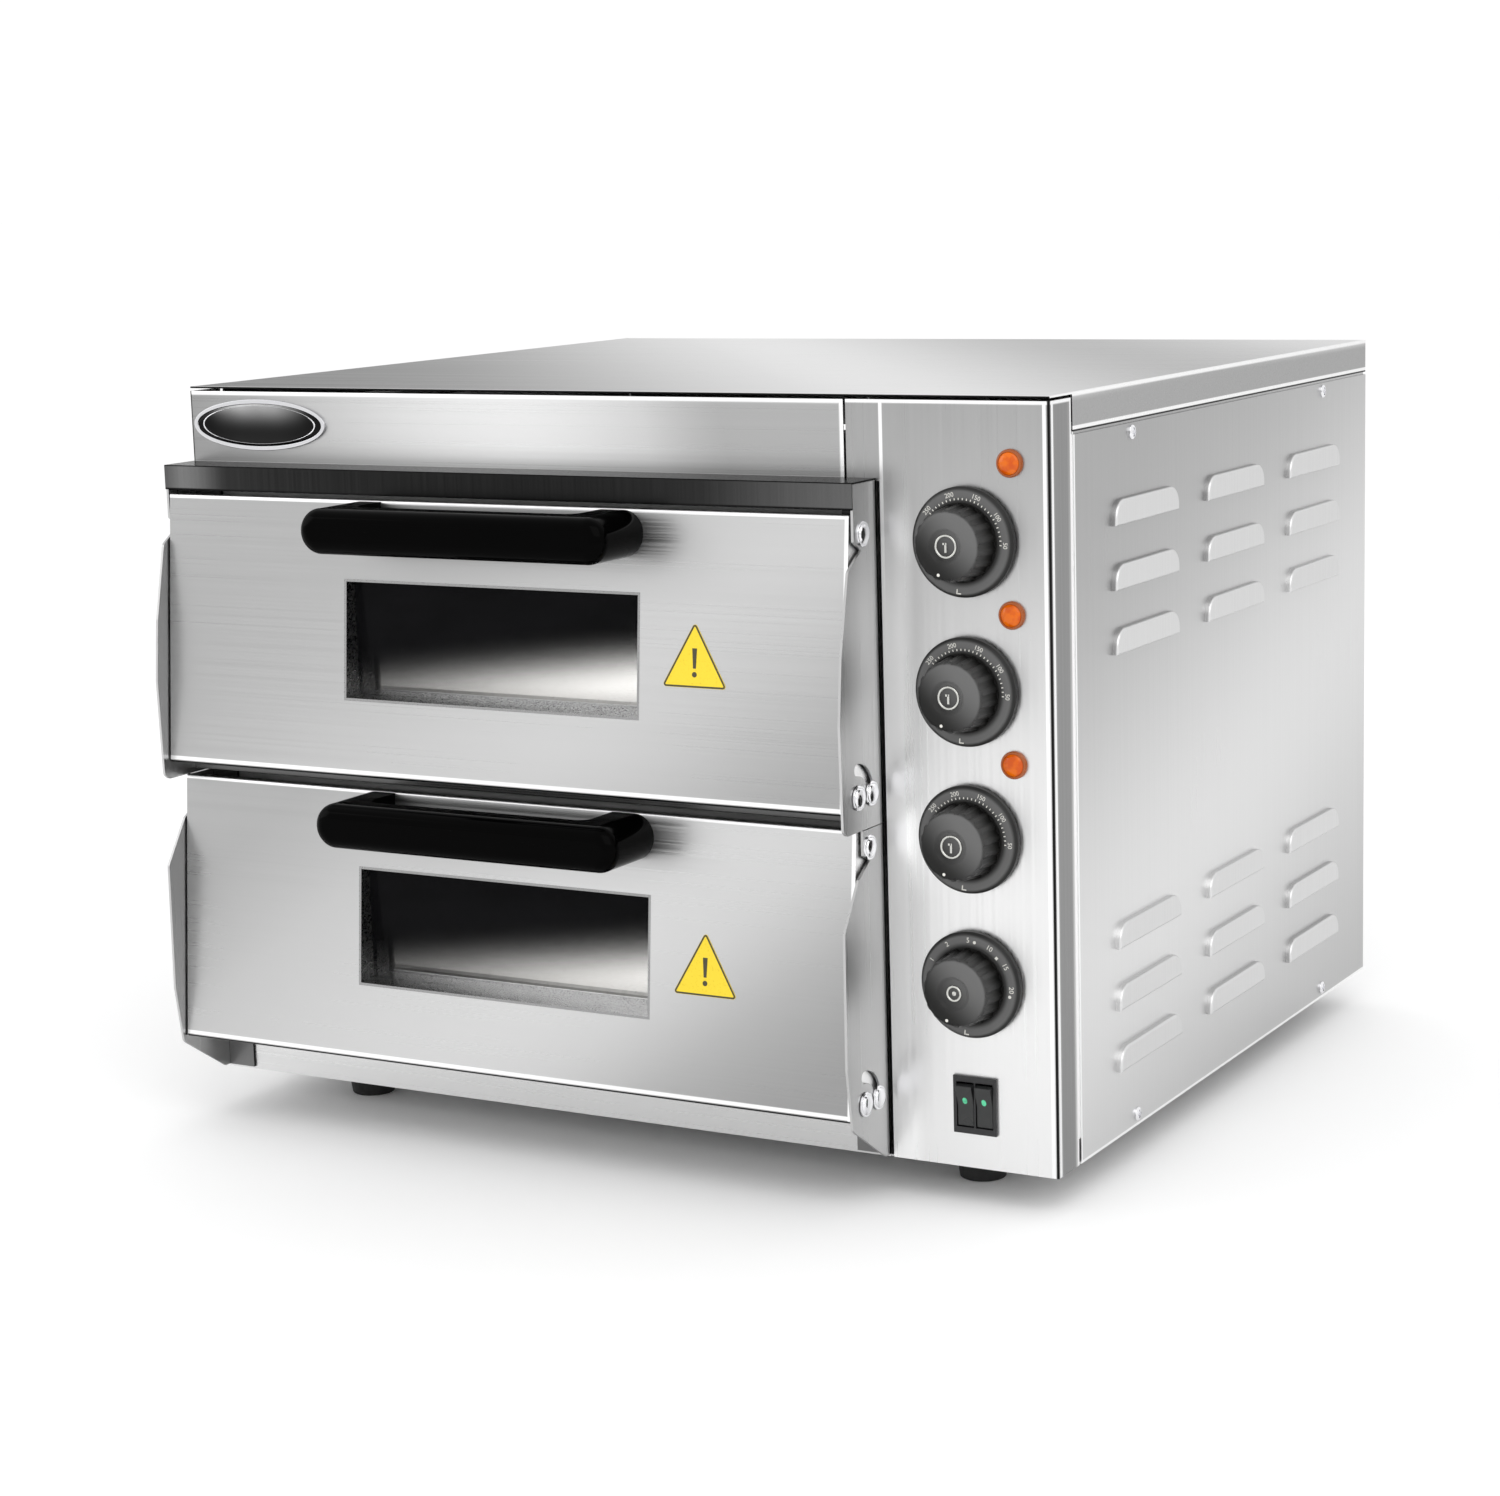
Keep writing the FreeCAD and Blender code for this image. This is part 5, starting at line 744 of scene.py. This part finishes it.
def cross(bm, place, radius, rise):
    """A domed head whose top carries a sunk cross; the head is a grid that folds down inside the cross."""
    arm, reach, depth = 0.22 * radius, 0.62 * radius, 0.55 * rise
    steps, rim_steps = 16, 40
    cells = {}
    grid = {radius * (2 * step / steps - 1) * 0.98 for step in range(steps + 1)}
    marks = sorted({-reach, reach, -arm, arm} | grid)

    def corner(x, y, sunk):
        away = math.hypot(x, y)
        if away > radius:
            x, y, away = x * radius / away, y * radius / away, radius
        height = rise * (0.45 + 0.55 * math.sqrt(max(0.0, 1 - (away / radius) ** 2)))
        if sunk:
            height = rise - depth
        key = (round(x, 7), round(y, 7), round(height, 7))
        if key not in cells:
            cells[key] = bm.verts.new(place @ Vector((x, y, height)))
        return cells[key]

    def inside(x, y):
        return (abs(x) < arm and abs(y) < reach) or (abs(y) < arm and abs(x) < reach)

    def facet(points):
        corners = list(dict.fromkeys(points))
        if len(corners) > 2 and not bm.faces.get(corners):
            bm.faces.new(corners)

    for x0, x1 in zip(marks, marks[1:]):
        for y0, y1 in zip(marks, marks[1:]):
            if min(math.hypot(x, y) for x in (x0, x1) for y in (y0, y1)) > radius:
                continue
            sunk = inside((x0 + x1) / 2, (y0 + y1) / 2)
            facet([corner(x0, y0, sunk), corner(x1, y0, sunk), corner(x1, y1, sunk), corner(x0, y1, sunk)])
            for (ax, ay), (bx, by), (nx, ny) in (
                ((x0, y0), (x1, y0), (0, -1)), ((x1, y0), (x1, y1), (1, 0)),
                ((x1, y1), (x0, y1), (0, 1)), ((x0, y1), (x0, y0), (-1, 0)),
            ):
                beyond = inside((x0 + x1) / 2 + nx * (x1 - x0), (y0 + y1) / 2 + ny * (y1 - y0))
                if sunk and not beyond:
                    facet([corner(bx, by, True), corner(ax, ay, True),
                           corner(ax, ay, False), corner(bx, by, False)])
    rim = [
        [bm.verts.new(place @ Vector((radius * math.cos(turned), radius * math.sin(turned), height)))
         for turned in (2 * math.pi * step / rim_steps for step in range(rim_steps))]
        for height in (0.45 * rise, 0.0)
    ]
    for step in range(rim_steps):
        after = (step + 1) % rim_steps
        bm.faces.new((rim[0][step], rim[0][after], rim[1][after], rim[1][step]))


BOLT_HEAD = 2.8 * MM


def dress_bolts(node, name, body, material):
    """Round-headed bolts with a washer, the head on the end that faces out of the bay."""
    bm = bmesh.new()
    middle = (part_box(node)[0].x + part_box(node)[1].x) / 2
    for low, high in solids(node):
        way = 1 if (low.x + high.x) / 2 > middle else -1
        tip = high.x if way > 0 else low.x
        radius = (high.z - low.z) / 2
        length = high.x - low.x
        centre = (low + high) / 2
        head = BOLT_HEAD
        place = facing((way, 0, 0), Vector((tip - way * head, centre.y, centre.z)))
        shank = [(0, head - length), (0.45 * radius, head - length), (0.45 * radius, 0.0)]
        washer = [(radius, 0.0), (radius, 0.25 * head),
                  (0.96 * radius, 0.35 * head), (0.82 * radius, 0.36 * head)]
        cap = [(0.80 * radius * math.cos(turned), head * (0.45 + 0.55 * math.sin(turned)))
               for turned in (math.pi / 2 * step / 8 for step in range(9))]
        turn(bm, shank + washer + cap, place)
    thing = made(name, bm, [material], 40)
    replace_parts(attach(thing, body), node)


# ---------------------------------------------------------------- control column
def on_dial(knob, angle, radius, height):
    """A frame on a knob's skirt: angle clockwise from the top, Y outwards, Z towards the user."""
    low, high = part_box(knob)
    turned = math.radians(angle)
    centre = Vector(((low.x + high.x) / 2, high.y - height, (low.z + high.z) / 2))
    spoke = Vector((math.sin(turned), 0, math.cos(turned)))
    along = Vector((math.cos(turned), 0, -math.sin(turned)))
    basis = Matrix((along, spoke, Vector((0, -1, 0)))).transposed().to_4x4()
    return Matrix.Translation(centre + spoke * radius) @ basis


def bar(bm, place, width, length, thickness):
    """A flat block centred on a frame, standing on its XY plane."""
    corners = [(-width / 2, -length / 2), (width / 2, -length / 2),
               (width / 2, length / 2), (-width / 2, length / 2)]
    slab(bm, corners, place, 0, thickness)


def disc(bm, place, radius, top, segments, base=0, material=0):
    """A flat round block between two heights of a frame."""
    turn(bm, [(0, base), (radius, base), (radius, top), (0, top)], place, segments, material)


NUMBER_ANGLE, NUMBER_STEP = 92, 35.5  # degrees clockwise from the top, and between two numbers
NUMBER_SIZE, NUMBER_RADIUS = 3.5 * MM, 25.4 * MM
STROKES, STROKE_RADIUS = 25, 22.9 * MM
MINUTE_ANGLE, MINUTE_STEP = 90, 30
MINUTE_SIZE, MINUTE_RADIUS = 3.9 * MM, 25.0 * MM
SCALE_DOT = 0.9 * MM


def dial_marks(knob, body, material):
    """The scale printed on a skirt: numbers, dots and a row of fine strokes."""
    bm = bmesh.new()
    face = SKIRT_FACE - 0.02 * MM
    if knob == "knob_timer":
        for index, minutes in enumerate((20, 15, 10, 5, 2, 1)):
            angle = MINUTE_ANGLE - index * MINUTE_STEP
            lettering(bm, str(minutes), MINUTE_SIZE, INK, on_dial(knob, angle, MINUTE_RADIUS, face))
            if index in (0, 3):
                disc(bm, on_dial(knob, angle + 9, 24.4 * MM, face), SCALE_DOT, INK, 16)
        bar(bm, on_dial(knob, 45, 23.6 * MM, face), 1.6 * MM, 1.6 * MM, INK)
    else:
        for index, degrees in enumerate((50, 100, 150, 200, 250)):
            angle = NUMBER_ANGLE - index * NUMBER_STEP
            lettering(bm, str(degrees), NUMBER_SIZE, INK, on_dial(knob, angle, NUMBER_RADIUS, face))
        for index in range(STROKES):
            angle = NUMBER_ANGLE - index * 4 * NUMBER_STEP / (STROKES - 1)
            bar(bm, on_dial(knob, angle, STROKE_RADIUS, face), 0.55 * MM, 1.1 * MM, INK)
    bar(bm, on_dial(knob, 186, 26.0 * MM, face), 0.6 * MM, 2.6 * MM, INK)
    bar(bm, on_dial(knob, 183, 27.0 * MM, face), 2.0 * MM, 0.6 * MM, INK)
    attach(made(f"{knob}_scale", bm, [material]), body)


def knob_emblem(knob, body, ring, pointer):
    """A bright ring set in the dished face, with a small upright mark, and a dot on the grip's edge."""
    low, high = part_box(knob)
    depth = high.y - low.y
    dish = depth - 1.6 * MM
    bm = bmesh.new()
    place = on_dial(knob, 0, 0, dish)
    outer = 4.6 * MM if knob == "knob_timer" else 6.5 * MM
    width = 1.5 * MM
    rim = [(outer - width / 2 + width / 2 * math.cos(turned), 0.9 * MM * math.sin(turned))
           for turned in (math.pi * step / 8 for step in range(9))]
    turn(bm, rim + [rim[0]], place, 48)
    if knob == "knob_timer":
        turn(bm, [(0, 0)] + dome(1.3 * MM, 0.5 * MM), place, 24)
    else:
        bar(bm, place @ Matrix.Translation((0, -0.6 * MM, 0)), 1.2 * MM, 5.2 * MM, 0.5 * MM)
        bar(bm, place @ Matrix.Translation((-0.9 * MM, 1.4 * MM, 0)), 1.6 * MM, 1.1 * MM, 0.5 * MM)
    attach(made(f"{knob}_ring", bm, [ring]), body)
    bm = bmesh.new()
    disc(bm, on_dial(knob, 196, 15.6 * MM, depth - 0.95 * MM), 0.85 * MM, INK, 20)
    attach(made(f"{knob}_dot", bm, [pointer]), body)


def lamps(lens, rim):
    """Domed orange lenses in darker rims."""
    from_top = sorted(solids("pilot_lamps"), key=lambda pair: -pair[0].z)
    for index, (low, high) in enumerate(from_top):
        radius = (high.z - low.z) / 2
        rise = FRONT - low.y
        place = facing((0, -1, 0), Vector(((low.x + high.x) / 2, FRONT, (low.z + high.z) / 2)))
        bm = bmesh.new()
        turn(bm, [(radius - 3.0 * MM, -6 * MM), (radius - 2.0 * MM, 0), (radius, 0), (radius, 0.35 * rise),
                  (radius - 0.5 * MM, 0.55 * rise), (radius - 1.3 * MM, 0.6 * rise),
                  (radius - 1.8 * MM, 0.45 * rise)], place)
        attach(made(f"lamp_rim_{index}", bm, [rim]), "case")
        bm = bmesh.new()
        cap = [(spot, 0.42 * rise + height) for spot, height in dome(radius - 1.5 * MM, 0.56 * rise, 10)]
        turn(bm, [(0, -6 * MM), (radius - 3.2 * MM, -6 * MM), (radius - 1.5 * MM, 0.3 * rise)] + cap, place)
        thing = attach(made(f"lamp_lens_{index}", bm, [lens]), "case")
        if index == 0:
            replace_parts(thing, "pilot_lamps")


def rocker_lenses(material):
    """A small green light in each rocker."""
    for side in ("left", "right"):
        pivot = joint_place(f"rocker_{side}_tilt")
        tilt = Matrix.Translation(pivot) @ Matrix.Rotation(math.radians(9), 4, "X")
        middle = (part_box(f"rocker_{side}")[0].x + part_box(f"rocker_{side}")[1].x) / 2 - pivot.x
        place = tilt @ facing((0, -1, 0), Vector((middle, -2.1 * MM, 3.2 * MM)))
        bm = bmesh.new()
        cap = [(spot, 0.1 * MM + height) for spot, height in dome(1.5 * MM, 0.5 * MM, 6)]
        root = [(0, -0.8 * MM), (1.6 * MM, -0.8 * MM), (1.6 * MM, 0.1 * MM)]
        turn(bm, root + cap, place, 32, flatten=(1, 1.5))
        thing = made(f"rocker_{side}_light", bm, [material])
        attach(thing, f"rocker_{side}_tip")


# ---------------------------------------------------------------- badge and door marks
BADGE_RIM = 2.7 * MM
BADGE_LINE = 0.9  # the bright line's share of the inlay's half width and half height


def badge_inlay(material, bright):
    """A domed dark inlay in the badge's rim, with a plain bright line round it and no name."""
    low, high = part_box("badge")
    centre = Vector(((low.x + high.x) / 2, high.y - 1.0 * MM, (low.z + high.z) / 2))
    half = ((high.x - low.x) / 2 - BADGE_RIM, (high.z - low.z) / 2 - BADGE_RIM)
    place = facing((0, -1, 0), centre)
    bm = bmesh.new()
    cap = [(spot, 0.15 * MM + height) for spot, height in dome(1, 0.9 * MM, 10)]
    turn(bm, [(0, 0), (1, 0)] + cap, place, 96, flatten=half)
    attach(made("badge_inlay", bm, [material]), "case")
    bm = bmesh.new()
    rim = [(BADGE_LINE + 0.012 * math.cos(turned), 0.45 * MM + 0.25 * MM * math.sin(turned))
           for turned in (math.pi * step / 4 for step in range(8))]
    turn(bm, rim + [rim[0]], place, 96, flatten=half)
    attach(made("badge_line", bm, [bright]), "case")


# x, and height above the door's foot
MARK_PLACE = {"upper": (84.0 * MM, 75.5 * MM), "lower": (84.5 * MM, 72.5 * MM)}
MARK_SHAPE = (41 * MM, 36 * MM, 1.6 * MM)  # base, height and corner radius
PRINT_FOOT, PRINT_TOP = 0.2 * MM, 0.32 * MM  # the dark print on the mark, out from the door


def door_face(deck):
    """Two points on a door's leaning front face: near its foot and near its top."""
    spots = [vertex.co for vertex in frame["nodes"][f"{deck}_door_outer"].data.vertices]
    low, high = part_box(f"{deck}_door_outer")
    near = 4 * MM
    foot = min((spot for spot in spots if spot.z < low.z + near), key=lambda spot: spot.y)
    top = min((spot for spot in spots if spot.z > high.z - near), key=lambda spot: spot.y)
    return foot, top


def door_mark(deck, field, dark):
    """A plain yellow triangle with a dark border and a stroke and dot, on the door's face."""
    foot, top = door_face(deck)
    up = Vector((0, top.y - foot.y, top.z - foot.z)).normalized()
    right = Vector((1, 0, 0))
    out = right.cross(up)
    x, lift = MARK_PLACE[deck]
    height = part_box(f"{deck}_door_outer")[0].z + lift - foot.z
    origin = Vector((x, foot.y, foot.z)) + up * (height / up.z)
    place = Matrix.Translation(origin) @ Matrix((right, up, out)).transposed().to_4x4()
    bm = bmesh.new()
    outlines = [rounded_triangle(*MARK_SHAPE, inset) for inset in (0.0, 0.15 * MM, 1.15 * MM)]
    slab(bm, outlines[0], place, -0.05 * MM, 0.25 * MM)
    band(bm, outlines[1], outlines[2], place, PRINT_FOOT, PRINT_TOP, 1)
    stroke = [(-1.5 * MM, 9.5 * MM), (-0.9 * MM, -1.5 * MM), (0.9 * MM, -1.5 * MM), (1.5 * MM, 9.5 * MM)]
    slab(bm, stroke, place, PRINT_FOOT, PRINT_TOP, 1)
    disc(bm, place @ Matrix.Translation((0, -4.8 * MM, 0)), 1.5 * MM, PRINT_TOP, 24, PRINT_FOOT, 1)
    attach(made(f"{deck}_door_mark", bm, [field, dark]), f"{deck}_door")


# ---------------------------------------------------------------- camera, lights, floor
SENSOR, LENS, SHIFT = 36, 76.9, (-0.04, -0.0067)
CAMERA_PLACE = (0.9622, -1.7232, 0.5584)
CAMERA_ANGLES = (28.80, 10.08, -1.51)  # azimuth, elevation and roll in degrees
SKY_STRENGTH = 1.08
STUDIO_LIGHTS = (  # name, place, size, power
    ("key", (1.6, -1.6, 2.2), (2.4, 2.4), 22),
    ("fill", (-2.4, -1.6, 1.2), (1.5, 1.5), 10),
)
CHAMBER_LIGHT_SIZE, CHAMBER_POWER = (0.36, 0.20), 0.44
FLOOR_HALF = 40.0


def camera():
    """The photo's camera, as it was fitted to the case's corners."""
    data = bpy.data.cameras.new("camera")
    data.sensor_width = SENSOR
    data.lens = LENS
    data.shift_x, data.shift_y = SHIFT
    thing = bpy.data.objects.new("camera", data)
    bpy.context.scene.collection.objects.link(thing)
    azimuth, elevation, roll = (math.radians(angle) for angle in CAMERA_ANGLES)
    back = Vector((math.sin(azimuth) * math.cos(elevation), -math.cos(azimuth) * math.cos(elevation),
                   math.sin(elevation)))
    right = Vector((math.cos(azimuth), math.sin(azimuth), 0))
    up = back.cross(right)
    rolled_right = math.cos(roll) * right + math.sin(roll) * up
    rolled_up = math.cos(roll) * up - math.sin(roll) * right
    basis = Matrix((rolled_right, rolled_up, back)).transposed().to_4x4()
    thing.matrix_world = Matrix.Translation(CAMERA_PLACE) @ basis
    bpy.context.scene.camera = thing


def soft_light(name, place, target, size, power):
    """A rectangular lamp at a place, turned to a target."""
    data = bpy.data.lights.new(name, "AREA")
    data.shape = "RECTANGLE"
    data.size, data.size_y = size
    data.energy = power
    thing = bpy.data.objects.new(name, data)
    bpy.context.scene.collection.objects.link(thing)
    thing.location = place
    thing.rotation_euler = (Vector(target) - Vector(place)).to_track_quat("-Z", "Y").to_euler()


def studio():
    """A pale room on a white floor.

    It has an even white sky, a big soft light from the upper right, a weaker one from the left,
    and a small one in each baking chamber.
    """
    world = bpy.data.worlds.new("studio")
    bpy.context.scene.world = world
    world.use_nodes = True
    sky = world.node_tree.nodes["Background"]
    sky.inputs["Color"].default_value = (1, 1, 1, 1)
    sky.inputs["Strength"].default_value = SKY_STRENGTH
    for name, place, size, power in STUDIO_LIGHTS:
        soft_light(name, place, (0, 0, 0.2), size, power)
    for deck in DECKS:
        low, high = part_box(f"{deck}_chamber")
        centre = (low + high) / 2
        above = Vector((centre.x - 0.02, centre.y - 0.10, high.z - 25 * MM))
        below = (above.x, above.y + 0.01, low.z)
        soft_light(f"{deck}_chamber_light", above, below, CHAMBER_LIGHT_SIZE, CHAMBER_POWER)
    bm = bmesh.new()
    bm.faces.new([bm.verts.new((x * FLOOR_HALF, y * FLOOR_HALF, -0.1 * MM))
                  for x, y in ((-1, -1), (1, -1), (1, 1), (-1, 1))])
    shader = Shader("floor_white")
    clouds = shader.noise(3.0, detail=2.0)
    shader.colour(shader.mixed(clouds, (0.93, 0.93, 0.93), (0.95, 0.95, 0.95)))
    shader.rough(0.8)
    shader.surface.inputs["Specular IOR Level"].default_value = 0.1
    made("floor", bm, [shader.material])


# ---------------------------------------------------------------- whole scene
camera()
studio()
paint_case()
paint_doors()
paint_rest()
chrome_head = polished("chrome_head", (0.86, 0.86, 0.88), 0.08)
dress_screws(chrome_head)
dress_bolts("cheek_bolts", "cheek_bolt_heads", "case", chrome_head)
for deck_name in DECKS:
    dress_bolts(f"{deck_name}_hinge_bolts", f"{deck_name}_hinge_bolt_heads", f"{deck_name}_door", chrome_head)
white_ink = ink("white_ink", (0.74, 0.73, 0.68))
bright_ring = polished("emblem_ring", (0.60, 0.60, 0.57), 0.2)
for knob_name in KNOBS:
    dial_marks(knob_name, f"{knob_name}_turn", white_ink)
    knob_emblem(knob_name, f"{knob_name}_turn", bright_ring, white_ink)
lamps(lamp_glow("lamp_orange", (0.62, 0.12, 0.001), (0.50, 0.07, 0.001), 0.14),
      moulded("lamp_rim_amber", (0.30, 0.07, 0.01), 0.25, 0.03))
rocker_lenses(lamp_glow("switch_green", (0.10, 0.55, 0.30), (0.05, 0.30, 0.16), 0.25))
badge_inlay(badge_dark(), polished("badge_line_bright", (0.8, 0.8, 0.82), 0.12))
mark_yellow = ink("mark_yellow", (0.84, 0.62, 0.02))
mark_dark = ink("mark_dark", (0.05, 0.045, 0.02))
for deck_name in DECKS:
    door_mark(deck_name, mark_yellow, mark_dark)

bpy.context.scene.view_settings.view_transform = "Standard"
